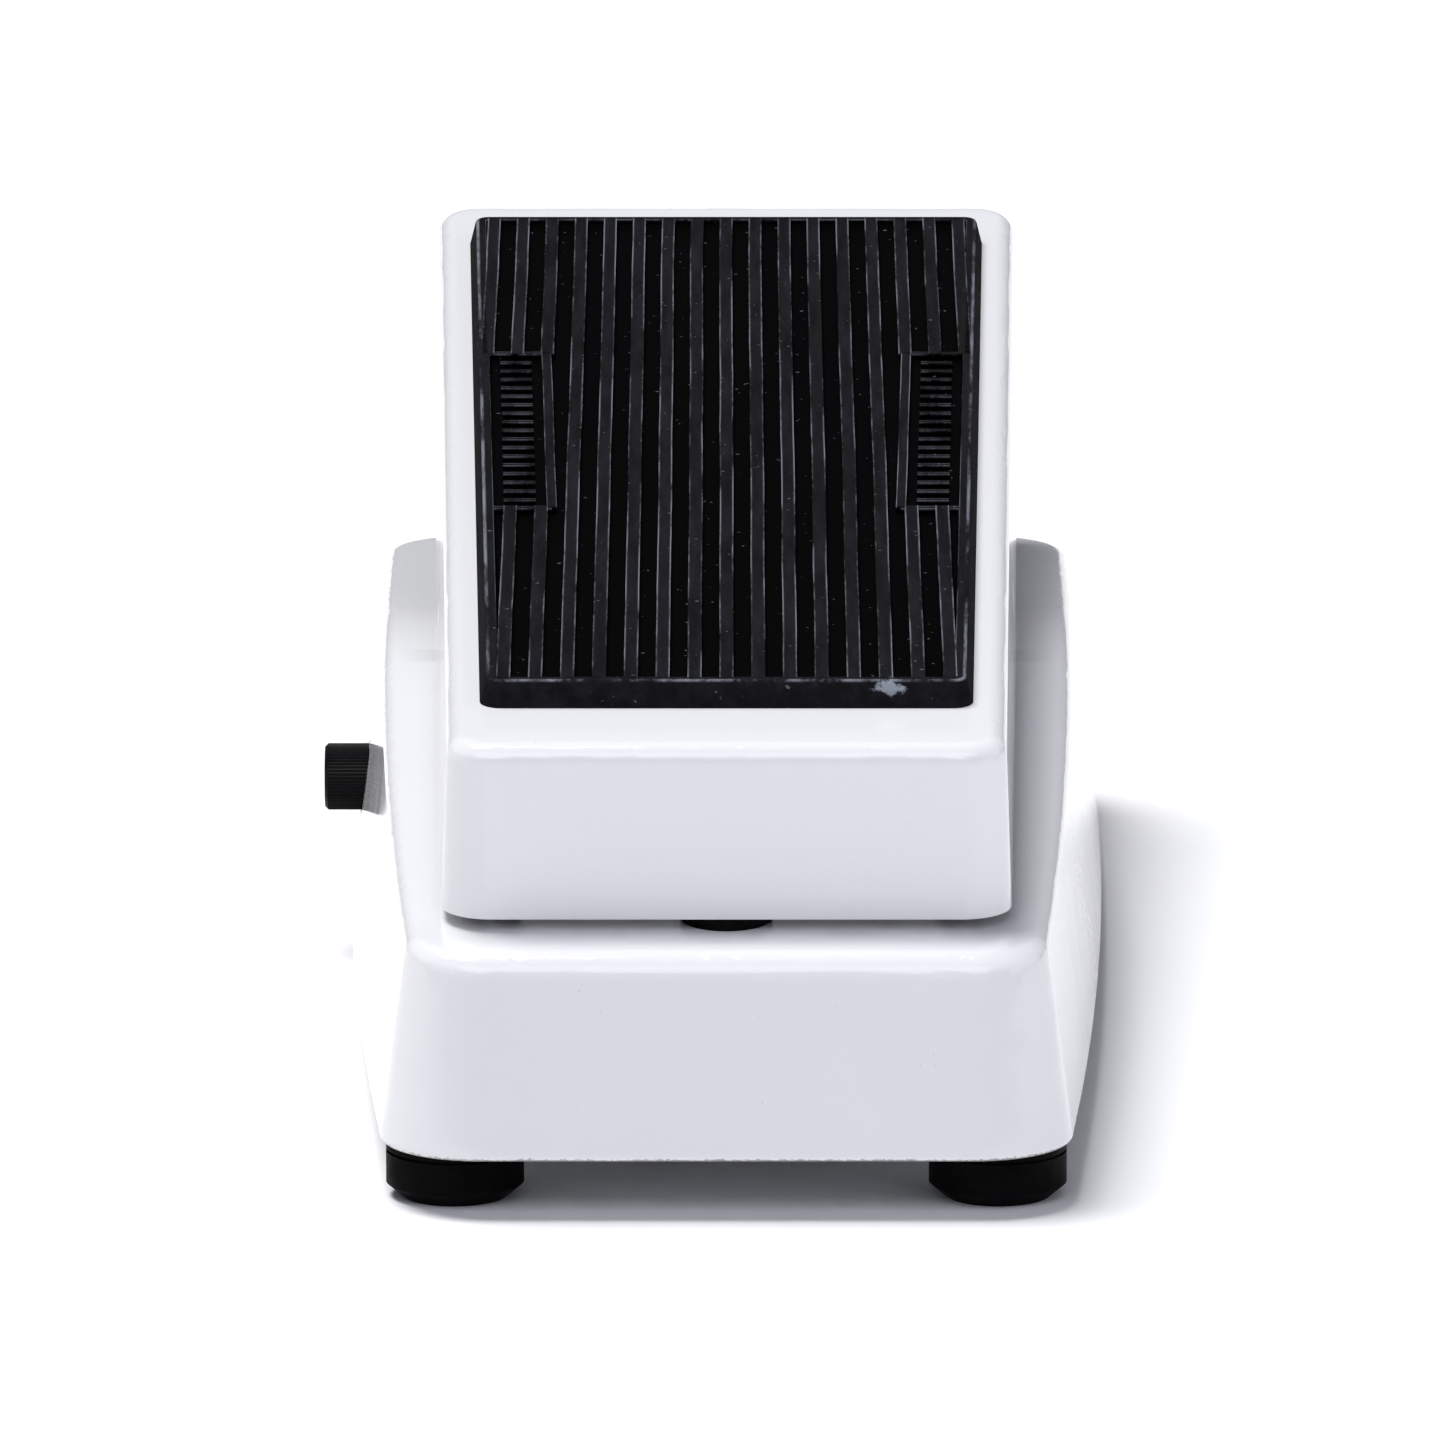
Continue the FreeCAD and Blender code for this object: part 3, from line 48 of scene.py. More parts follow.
# The tread pad lies on the treadle's deck, which is tilted about the rocker pivot.
PIVOT_Z = 53.0
DECK_TILT = math.radians(7.0)
DECK_TOP = 19.0
PAD_T = 3.5
PAD_ENDS = (-98.0, 101.0)
PAD_HALF_WIDTHS = (31.1, 35.7)
PAD_CORNER_R = 2.6
PAD_SLOPE = math.tan(math.radians(14.0))
PAD_EDGE_R = 0.5
RIM_WIDTH = 1.4
GROOVE_DEPTH = 0.9
GROOVE_PITCH = 4.03
GROOVE_COUNT = 16
RIB_HALF_WIDTH = 0.88
PANEL_ENDS = (-28.0, 38.0)
PANEL_WIDTH = 7.0
PANEL_BORDER = 1.3
RUNG_COUNT = 17

# Marks of wear, in metres.
WORN_FROM = 0.00695        # bare metal below this height on the base
WORN_RAGGED = 0.0018       # and this much higher where the wear is ragged
CHIP_X = 0.0207            # the middle of a pale scrape on the pad's heel edge
CHIP_Z = 0.0624
CHIP_HALF_WIDTH = 0.0022
CHIP_END_Y = -0.0983

# Shading.
BROAD_FACE = 2.5e-6        # square metres: larger faces of the tread are shaded flat
TREAD_SHARP = math.radians(50.0)
CASTING_SHARP = math.radians(28.0)
WELD_GAP = 1e-6


# --- camera, light and floor ----------------------------------------------------------------------
def place_camera():
    data = bpy.data.cameras.new("view")
    data.lens = 348.8
    data.sensor_width = 36.0
    data.clip_start = 0.05
    data.clip_end = 60.0
    camera = bpy.data.objects.new("view", data)
    camera.location = (-0.0005, -1.8241, 0.4341)
    camera.rotation_euler = (math.radians(77.7), 0.0, 0.0)
    bpy.context.scene.collection.objects.link(camera)
    bpy.context.scene.camera = camera


def soft_box(name, place, aim, width, height, watts, colour=(1.0, 1.0, 1.0)):
    data = bpy.data.lights.new(name, "AREA")
    data.shape = "RECTANGLE"
    data.size = width
    data.size_y = height
    data.energy = watts
    data.color = colour
    light = bpy.data.objects.new(name, data)
    light.location = place
    aim_line = Vector(aim) - Vector(place)
    light.rotation_euler = aim_line.to_track_quat("-Z", "Y").to_euler()
    bpy.context.scene.collection.objects.link(light)


def sun_through_silk(name, towards_light, strength, spread):
    """A broad, even key light, as a large silk overhead gives."""
    data = bpy.data.lights.new(name, "SUN")
    data.energy = strength
    data.angle = math.radians(spread)
    light = bpy.data.objects.new(name, data)
    light.rotation_euler = (-Vector(towards_light)).to_track_quat("-Z", "Y").to_euler()
    bpy.context.scene.collection.objects.link(light)


def light_the_set():
    world = bpy.data.worlds.new("studio")
    world.use_nodes = True
    background = world.node_tree.nodes["Background"]
    background.inputs["Color"].default_value = (0.92, 0.93, 1.0, 1.0)
    background.inputs["Strength"].default_value = 0.15
    bpy.context.scene.world = world
    bpy.context.scene.view_settings.view_transform = "Standard"
    cool = (0.86, 0.88, 1.0)
    sun_through_silk("key", (-0.25, 0.12, 0.95), 3.20, 28.0)
    soft_box("front_silk", (-0.15, -1.5, 1.45), (0.0, 0.0, 0.05), 1.8, 1.0, 12.5, cool)
    soft_box("front_card", (-0.1, -2.1, 0.42), (0.0, 0.0, 0.05), 1.8, 0.6, 1.0, cool)
    soft_box("right_card", (1.2, -0.2, 0.35), (0.0, 0.0, 0.05), 1.3, 0.5, 3.2, cool)


def lay_floor():
    mesh = bpy.data.meshes.new("floor")
    reach = 6.0
    corners = [(-reach, -reach, 0), (reach, -reach, 0), (reach, reach, 0), (-reach, reach, 0)]
    mesh.from_pydata(corners, [], [(0, 1, 2, 3)])
    floor = bpy.data.objects.new("floor", mesh)
    bpy.context.scene.collection.objects.link(floor)
    mesh.materials.append(seamless_paper("seamless_paper"))


# --- building finishes ----------------------------------------------------------------------------
class Finish:
    """A node material while it is being made."""

    def __init__(self, name):
        self.material = bpy.data.materials.new(name)
        self.material.use_nodes = True
        self.tree = self.material.node_tree
        self.shader = self.tree.nodes["Principled BSDF"]
        self.coords = self.tree.nodes.new("ShaderNodeTexCoord").outputs["Object"]

    def set(self, **values):
        """Puts constant values on the shader's own sockets."""
        for key, value in values.items():
            self.shader.inputs[key.replace("_", " ")].default_value = value
        return self

    def feed(self, socket, source):
        self.tree.links.new(source, self.shader.inputs[socket])

    def stretched(self, scale):
        mapping = self.tree.nodes.new("ShaderNodeMapping")
        mapping.inputs["Scale"].default_value = scale
        self.tree.links.new(self.coords, mapping.inputs["Vector"])
        return mapping.outputs["Vector"]

    def noise(self, scale, detail=3.0, roughness=0.55, vector=None, distortion=0.0):
        node = self.tree.nodes.new("ShaderNodeTexNoise")
        node.inputs["Scale"].default_value = scale
        node.inputs["Detail"].default_value = detail
        node.inputs["Roughness"].default_value = roughness
        node.inputs["Distortion"].default_value = distortion
        self.tree.links.new(vector or self.coords, node.inputs["Vector"])
        return node.outputs["Fac"]

    def cells(self, scale, vector=None, feature="F1", output="Distance"):
        node = self.tree.nodes.new("ShaderNodeTexVoronoi")
        node.feature = feature
        node.inputs["Scale"].default_value = scale
        self.tree.links.new(vector or self.coords, node.inputs["Vector"])
        return node.outputs[output]

    def axis(self, name, vector=None):
        node = self.tree.nodes.new("ShaderNodeSeparateXYZ")
        self.tree.links.new(vector or self.coords, node.inputs["Vector"])
        return node.outputs[name]

    def attribute(self, name):
        node = self.tree.nodes.new("ShaderNodeAttribute")
        node.attribute_name = name
        return node.outputs["Fac"]

    def math(self, operation, a, b=0.0, c=0.0):
        node = self.tree.nodes.new("ShaderNodeMath")
        node.operation = operation
        for socket, value in zip(node.inputs, (a, b, c)):
            if isinstance(value, (int, float)):
                socket.default_value = value
            else:
                self.tree.links.new(value, socket)
        return node.outputs["Value"]

    def ramp(self, source, low, high, at_low=0.0, at_high=1.0):
        """A smooth step from at_low to at_high as source goes from low to high."""
        node = self.tree.nodes.new("ShaderNodeMapRange")
        node.interpolation_type = "SMOOTHSTEP"
        for key, value in (("From Min", low), ("From Max", high), ("To Min", at_low), ("To Max", at_high)):
            node.inputs[key].default_value = value
        self.tree.links.new(source, node.inputs["Value"])
        return node.outputs["Result"]

    def mix(self, factor, a, b):
        """A colour between a and b; each is a colour or a socket."""
        node = self.tree.nodes.new("ShaderNodeMix")
        node.data_type = "RGBA"
        self.tree.links.new(factor, node.inputs["Factor"])
        for socket, value in ((node.inputs[6], a), (node.inputs[7], b)):
            if isinstance(value, tuple):
                socket.default_value = (*value, 1.0)
            else:
                self.tree.links.new(value, socket)
        return node.outputs[2]

    def bump(self, *layers):
        """Layers of (height, strength, depth in metres), one on the other."""
        normal = None
        for height, strength, depth in layers:
            node = self.tree.nodes.new("ShaderNodeBump")
            node.inputs["Strength"].default_value = strength
            node.inputs["Distance"].default_value = depth
            self.tree.links.new(height, node.inputs["Height"])
            if normal is not None:
                self.tree.links.new(normal, node.inputs["Normal"])
            normal = node.outputs["Normal"]
        self.feed("Normal", normal)


# --- the finishes ---------------------------------------------------------------------------------
def seamless_paper(name):
    f = Finish(name).set(Specular_IOR_Level=0.15)
    f.feed("Base Color", f.mix(f.noise(3.0), (0.90, 0.90, 0.905), (0.92, 0.92, 0.925)))
    f.feed("Roughness", f.ramp(f.noise(40.0), 0.3, 0.7, 0.7, 0.85))
    return f.material


def gloss_enamel(name):
    """Baked white enamel over a casting, worn to bare metal along the bottom edge."""
    f = Finish(name).set(IOR=1.5)
    cloud = f.noise(14.0, detail=4.0)
    white = f.mix(cloud, (0.770, 0.772, 0.790), (0.795, 0.797, 0.812))
    specks = f.ramp(f.noise(1500.0, detail=1.0), 0.80, 0.84)
    dusty = f.mix(specks, white, (0.60, 0.585, 0.57))
    height = f.axis("Z")
    ragged = f.noise(1600.0, detail=5.0, roughness=0.8)
    edge_top = f.math("MULTIPLY_ADD", ragged, WORN_RAGGED, WORN_FROM)
    bare = f.math("LESS_THAN", height, edge_top)
    metal = f.mix(f.noise(2400.0), (0.30, 0.29, 0.29), (0.55, 0.54, 0.54))
    f.feed("Base Color", f.mix(bare, dusty, metal))
    f.feed("Metallic", f.math("MULTIPLY", bare, 0.7))
    smear = f.noise(45.0, detail=5.0, roughness=0.6, distortion=0.6)
    polish = f.ramp(smear, 0.35, 0.7, 0.055, 0.10)
    f.feed("Roughness", f.math("MAXIMUM", polish, f.math("MULTIPLY", bare, 0.5)))
    orange_peel = f.noise(420.0, detail=2.0)
    casting_wave = f.noise(38.0, detail=1.0)
    f.bump((casting_wave, 0.05, 0.0004), (orange_peel, 0.02, 0.0001))
    return f.material


def zinc_plate(name):
    """Zinc plated sheet: faint crystals and rolling lines."""
    f = Finish(name).set(Metallic=1.0)
    spangle = f.cells(160.0, output="Color")
    rolled = f.noise(60.0, vector=f.stretched((1.0, 14.0, 1.0)))
    tone = f.mix(rolled, (0.50, 0.51, 0.53), (0.66, 0.67, 0.69))
    grey = f.math("MULTIPLY", f.axis("X", spangle), 0.35)
    f.feed("Base Color", f.mix(grey, tone, (0.78, 0.79, 0.78)))
    f.feed("Roughness", f.ramp(rolled, 0.3, 0.7, 0.30, 0.46))
    f.bump((rolled, 0.08, 0.0001), (f.noise(2200.0), 0.06, 0.00005))
    return f.material


def moulded_rubber(name, dark, light, grain, shine):
    """Matt moulded rubber with a fine grain and a little dust."""
    f = Finish(name).set(Specular_IOR_Level=0.05)
    dust = f.ramp(f.noise(85.0, detail=6.0, roughness=0.7), 0.45, 0.75)
    f.feed("Base Color", f.mix(dust, dark, light))
    f.feed("Roughness", f.ramp(f.noise(220.0), 0.3, 0.7, shine, shine + 0.2))
    f.bump((f.noise(grain, detail=4.0), 0.25, 0.00012), (f.noise(70.0), 0.12, 0.0004))
    return f.material


def tread_rubber(name):
    """Old black tread rubber: hollows painted near-black as painted shade, greyed rib tops, rib edges
    lightened partly by dust and partly as a painted highlight, and a pale scrape.
    """
    f = Finish(name).set(Specular_IOR_Level=0.01)
    across = f.math("ABSOLUTE", f.attribute("across"))
    level = f.attribute("level")
    long_grain = f.stretched((1.0, 0.08, 1.0))
    streak = f.noise(420.0, detail=5.0, roughness=0.7, vector=long_grain)
    patch = f.noise(38.0, detail=4.0)
    top_grey = f.mix(f.ramp(streak, 0.3, 0.75), (0.0075, 0.0075, 0.0088), (0.0155, 0.0155, 0.0180))
    # The hollow colour is painted shade: the groove floors are painted near-black beneath the grey worn
    # rib tops.
    hollow = f.mix(patch, (0.0005, 0.0005, 0.0006), (0.0011, 0.0011, 0.0013))
    body = f.mix(f.ramp(level, 0.55, 0.95), hollow, top_grey)
    # Lightened lines along the rounded rib and rim edges: partly dust, partly a painted highlight where
    # the edges catch the light.
    edge = f.math("MULTIPLY", f.ramp(across, 0.72, 0.98), f.ramp(level, 0.6, 0.95))
    broken = f.ramp(f.noise(170.0, detail=6.0, roughness=0.75, vector=long_grain), 0.42, 0.62)
    dust = f.math("MULTIPLY", edge, f.math("MULTIPLY", broken, 0.85))
    dusted_and_highlighted = f.mix(dust, body, (0.210, 0.220, 0.255))
    specks = f.ramp(f.noise(900.0, detail=2.0), 0.715, 0.76)
    speckled = f.mix(f.math("MULTIPLY", specks, 0.4), dusted_and_highlighted, (0.22, 0.22, 0.24))
    aside = f.math("ABSOLUTE", f.math("SUBTRACT", f.axis("X"), CHIP_X))
    off_height = f.math("ABSOLUTE", f.math("SUBTRACT", f.axis("Z"), CHIP_Z))
    torn = f.math("MULTIPLY", f.noise(520.0, detail=6.0, roughness=0.8), CHIP_HALF_WIDTH * 3.4)
    from_middle = f.math("ADD", aside, f.math("MULTIPLY", off_height, 1.7))
    scraped = f.ramp(f.math("ADD", from_middle, torn), CHIP_HALF_WIDTH * 2.75, CHIP_HALF_WIDTH * 2.2)
    at_heel = f.ramp(f.axis("Y"), CHIP_END_Y + 0.0006, CHIP_END_Y)
    chip = f.math("MULTIPLY", f.math("MULTIPLY", scraped, at_heel), 0.7)
    f.feed("Base Color", f.mix(chip, speckled, (0.40, 0.44, 0.50)))
    f.feed("Roughness", f.ramp(level, 0.5, 1.0, 0.55, 0.78))
    f.bump((streak, 0.22, 0.00015), (f.noise(1400.0), 0.18, 0.00006))
    return f.material


def turned_steel(name, colour, rough, lines):
    """Steel with fine turning or grinding lines."""
    f = Finish(name).set(Metallic=1.0)
    mark = f.noise(lines, detail=3.0, vector=f.stretched((1.0, 0.12, 0.12)))
    stain = f.ramp(f.noise(120.0, detail=4.0), 0.4, 0.8)
    shade = tuple(c * 0.78 for c in colour)
    base = f.mix(mark, shade, colour)
    f.feed("Base Color", f.mix(f.math("MULTIPLY", stain, 0.35), base, tuple(c * 0.62 for c in colour)))
    f.feed("Roughness", f.ramp(mark, 0.3, 0.7, rough, rough + 0.12))
    f.bump((mark, 0.15, 0.00006), (f.noise(600.0), 0.05, 0.0001))
    return f.material


def bright_nickel(name):
    """Nickel plate: bright, with faint wipe marks."""
    f = Finish(name).set(Metallic=1.0)
    wipe = f.noise(140.0, detail=5.0, roughness=0.65, distortion=0.4)
    f.feed("Base Color", f.mix(wipe, (0.60, 0.57, 0.52), (0.74, 0.71, 0.66)))
    f.feed("Roughness", f.ramp(wipe, 0.3, 0.7, 0.14, 0.27))
    f.bump((f.noise(900.0), 0.06, 0.00005), (f.noise(90.0), 0.05, 0.0002))
    return f.material


def drawn_can(name):
    """The satin drawn steel of a potentiometer can, with draw lines along its axis."""
    f = Finish(name).set(Metallic=1.0)
    drawn = f.noise(900.0, detail=3.0, vector=f.stretched((0.1, 1.0, 1.0)))
    f.feed("Base Color", f.mix(drawn, (0.44, 0.44, 0.43), (0.60, 0.60, 0.58)))
    f.feed("Roughness", f.ramp(drawn, 0.3, 0.7, 0.28, 0.42))
    f.bump((drawn, 0.12, 0.00005), (f.noise(70.0), 0.06, 0.0002))
    return f.material


def bearing_nylon(name):
    """Natural nylon: milky, slightly waxy, with moulding flow marks."""
    f = Finish(name).set(Subsurface_Weight=0.25, Subsurface_Scale=0.002)
    flow = f.noise(180.0, detail=4.0, distortion=1.2)
    f.feed("Base Color", f.mix(flow, (0.72, 0.70, 0.63), (0.82, 0.80, 0.74)))
    f.feed("Roughness", f.ramp(flow, 0.3, 0.7, 0.36, 0.50))
    f.bump((f.noise(1600.0), 0.08, 0.00006), (flow, 0.05, 0.0001))
    return f.material


def paper_laminate(name):
    """Brown phenolic laminate: fibre flecks and a dark carbon print."""
    f = Finish(name).set(IOR=1.5)
    fibre = f.noise(800.0, detail=5.0, roughness=0.7, distortion=0.5)
    brown = f.mix(fibre, (0.16, 0.075, 0.03), (0.30, 0.16, 0.07))
    print_edge = f.ramp(f.noise(160.0, detail=2.0), 0.50, 0.54)
    f.feed("Base Color", f.mix(print_edge, brown, (0.018, 0.017, 0.016)))
    f.feed("Roughness", f.ramp(fibre, 0.3, 0.7, 0.38, 0.55))
    f.bump((fibre, 0.12, 0.00006), (f.noise(2500.0), 0.08, 0.00004))
    return f.material


def moulded_plastic(name, dark, light, grain, rough, shine=0.5):
    """Moulded plastic with a fine spark grain and handling marks."""
    f = Finish(name).set(IOR=1.48, Specular_IOR_Level=shine)
    wear = f.ramp(f.noise(150.0, detail=5.0, roughness=0.65), 0.40, 0.75)
    f.feed("Base Color", f.mix(wear, dark, light))
    f.feed("Roughness", f.ramp(f.noise(300.0, detail=4.0), 0.3, 0.7, rough, rough + 0.14))
    f.bump((f.noise(grain, detail=3.0), 0.18, 0.00005), (f.noise(120.0), 0.05, 0.0002))
    return f.material


def tinned_tag(name):
    """Hot tinned brass: soft puddled ripples over a dull grey."""
    f = Finish(name).set(Metallic=1.0)
    puddle = f.noise(700.0, detail=2.0, distortion=0.8)
    f.feed("Base Color", f.mix(puddle, (0.48, 0.47, 0.45), (0.70, 0.70, 0.68)))
    f.feed("Roughness", f.ramp(puddle, 0.3, 0.7, 0.26, 0.44))
    f.bump((puddle, 0.3, 0.0001), (f.noise(2600.0), 0.08, 0.00003))
    return f.material


def wire_sleeve(name):
    """Soft coloured wire sleeves: one tint on the left, another on the right, slightly mottled."""
    f = Finish(name).set(IOR=1.52)
    side = f.ramp(f.axis("X"), -0.0005, 0.0005)
    tint = f.mix(side, (0.42, 0.035, 0.03), (0.055, 0.14, 0.36))
    mottle = f.noise(420.0, detail=4.0)
    f.feed("Base Color", f.mix(f.math("MULTIPLY", mottle, 0.3), tint, (0.62, 0.56, 0.50)))
    f.feed("Roughness", f.ramp(mottle, 0.3, 0.7, 0.36, 0.5))
    f.bump((f.noise(2200.0), 0.15, 0.00004), (mottle, 0.06, 0.0001))
    return f.material


def all_finishes():
    steel = (0.62, 0.61, 0.59)
    return {
        "white_enamel": gloss_enamel("gloss_enamel"),
        "zinc_sheet": zinc_plate("zinc_plate"),
        "foot_rubber": moulded_rubber(
            "foot_rubber", (0.0012, 0.0012, 0.0015), (0.004, 0.004, 0.0048), 900.0, 0.55),
        "bumper_rubber": moulded_rubber(
            "bumper_rubber", (0.003, 0.003, 0.003), (0.009, 0.009, 0.0095), 1300.0, 0.62),
        "pad_rubber": tread_rubber("tread_rubber"),
        "screw_steel": turned_steel("screw_steel", steel, 0.26, 1500.0),
        "ground_steel": turned_steel("ground_steel", (0.66, 0.66, 0.66), 0.16, 2600.0),
        "white_nylon": bearing_nylon("bearing_nylon"),
        "nickel_plate": bright_nickel("bright_nickel"),
        "pot_can": drawn_can("drawn_can"),
        "track_laminate": paper_laminate("paper_laminate"),
        "wiper_plastic": moulded_plastic(
            "wiper_plastic", (0.05, 0.052, 0.06), (0.10, 0.10, 0.11), 1500.0, 0.40),
        "pot_shaft": turned_steel("turned_shaft", (0.70, 0.70, 0.71), 0.28, 1800.0),
        "knob_black": moulded_plastic(
            "knob_black", (0.002, 0.002, 0.0024), (0.006, 0.006, 0.007), 1800.0, 0.42, 0.10),
        "jack_black": moulded_plastic(
            "jack_black", (0.010, 0.010, 0.011), (0.026, 0.026, 0.028), 1400.0, 0.38),
        "tinned_tags": tinned_tag("tinned_tag"),
        "wire_insulation": wire_sleeve("wire_sleeve"),
    }


def finish_every_node(finishes):
    slots = {row["node"]: row["material_slot"] for row in frame["record"]["subparts"]}
    for name, node in frame["nodes"].items():
        node.data.materials.clear()
        node.data.materials.append(finishes[slots[name]])


# --- the tread pad --------------------------------------------------------------------------------
def deck_matrix():
    """From the deck's own frame, in millimetres about the pivot, to the part's frame in metres."""
    scale = Matrix.Scale(MM, 4)
    return scale @ Matrix.Translation((0, 0, PIVOT_Z)) @ Matrix.Rotation(DECK_TILT, 4, "X")


def pad_half_width(s):
    share = (s - PAD_ENDS[0]) / (PAD_ENDS[1] - PAD_ENDS[0])
    return PAD_HALF_WIDTHS[0] + share * (PAD_HALF_WIDTHS[1] - PAD_HALF_WIDTHS[0])


def pad_outline(inset, parts=(30, 100, 35, 100), arc_steps=8):
    """The pad's rounded outline drawn in by inset, as (x, s) points with the same count each time."""
    (s0, s1), (w0, w1) = PAD_ENDS, PAD_HALF_WIDTHS
    corners = [
        Vector((-w0 + inset, s0 + inset)),
        Vector((w0 - inset, s0 + inset)),
        Vector((w1 - inset, s1 - inset)),
        Vector((-w1 + inset, s1 - inset)),
    ]
    radius = max(PAD_CORNER_R - inset, 0.55)
    spans = []
    for i, corner in enumerate(corners):
        into = (corner - corners[i - 1]).normalized()
        out = (corners[(i + 1) % 4] - corner).normalized()
        turn = math.acos(max(-1.0, min(1.0, into.dot(out))))
        back = radius * math.tan(turn / 2)
        start = corner - into * back
        centre = start + Vector((-into.y, into.x)) * radius
        arc = []
        for k in range(arc_steps + 1):
            a = turn * k / arc_steps
            spoke = start - centre
            arc.append(centre + Vector((spoke.x * math.cos(a) - spoke.y * math.sin(a),
                                        spoke.x * math.sin(a) + spoke.y * math.cos(a))))
        spans.append(arc)
    points = []
    for i, arc in enumerate(spans):
        points += arc
        following = spans[(i + 1) % 4][0]
        for k in range(1, parts[i]):
            points.append(arc[-1].lerp(following, k / parts[i]))
    return points


def pad_body():
    """The slab with its raised rim, open to the hollow that the ribs stand in."""
    top = PAD_T
    edge = PAD_SLOPE * top
    inner = edge + RIM_WIDTH
    floor = top - GROOVE_DEPTH
    rise = PAD_EDGE_R * math.sin(math.radians(45.0))
    # Each ring is inset, height, how far up it counts as worn top, and how near an edge it is.
    # Low rings take the tread finish's painted shade in the hollow; rings near an edge take its lightened
    # edge lines, partly dust and partly a painted highlight.
    rings = [
        (0.0, 0.0, 0.95, 0.0),
        (PAD_SLOPE * 1.6, 1.6, 1.0, 0.0),
        (PAD_SLOPE * (top - PAD_EDGE_R), top - PAD_EDGE_R, 1.0, 0.55),
        (edge + 0.12 * PAD_EDGE_R, top - PAD_EDGE_R + rise, 0.95, 0.95),
        (edge + 0.45 * PAD_EDGE_R, top - 0.06, 1.0, 1.0),
        (edge + PAD_EDGE_R, top, 1.0, 0.75),
        (inner - 0.30, top, 1.0, 0.2),
        (inner - 0.12, top - 0.04, 1.0, 0.8),
        (inner, top - 0.16, 0.9, 0.9),
        (inner + 0.05, floor + 0.20, 0.2, 0.0),
        (inner + 0.22, floor, 0.0, 0.0),
        (inner + 0.60, floor, 0.0, 0.0),
    ]
    made = bmesh.new()
    across = made.verts.layers.float.new("across")
    level = made.verts.layers.float.new("level")
    loops = []
    for inset, height, worn, near_edge in rings:
        loop = []
        for x, s in pad_outline(inset):
            v = made.verts.new((x, s, DECK_TOP + height))
            v[across], v[level] = near_edge, worn
            loop.append(v)
        loops.append(loop)
    count = len(loops[0])
    for low, high in zip(loops, loops[1:]):
        for i in range(count):
            j = (i + 1) % count
            made.faces.new((low[i], low[j], high[j], high[i]))
    hollow = made.faces.new(loops[-1])
    underside = made.faces.new(list(reversed(loops[0])))
    bmesh.ops.triangulate(made, faces=[hollow, underside])
    mesh = bpy.data.meshes.new("tread_pad_body")
    made.to_mesh(mesh)
    made.free()
    return mesh


def line_mesh(name, lines):
    """Straight centre lines as loose edges: each is (start, end) on the deck."""
    verts, edges = [], []
    for start, end in lines:
        edges.append((len(verts), len(verts) + 1))
        verts += [start, end]
    mesh = bpy.data.meshes.new(name)
    mesh.from_pydata(verts, edges, [])
    return mesh


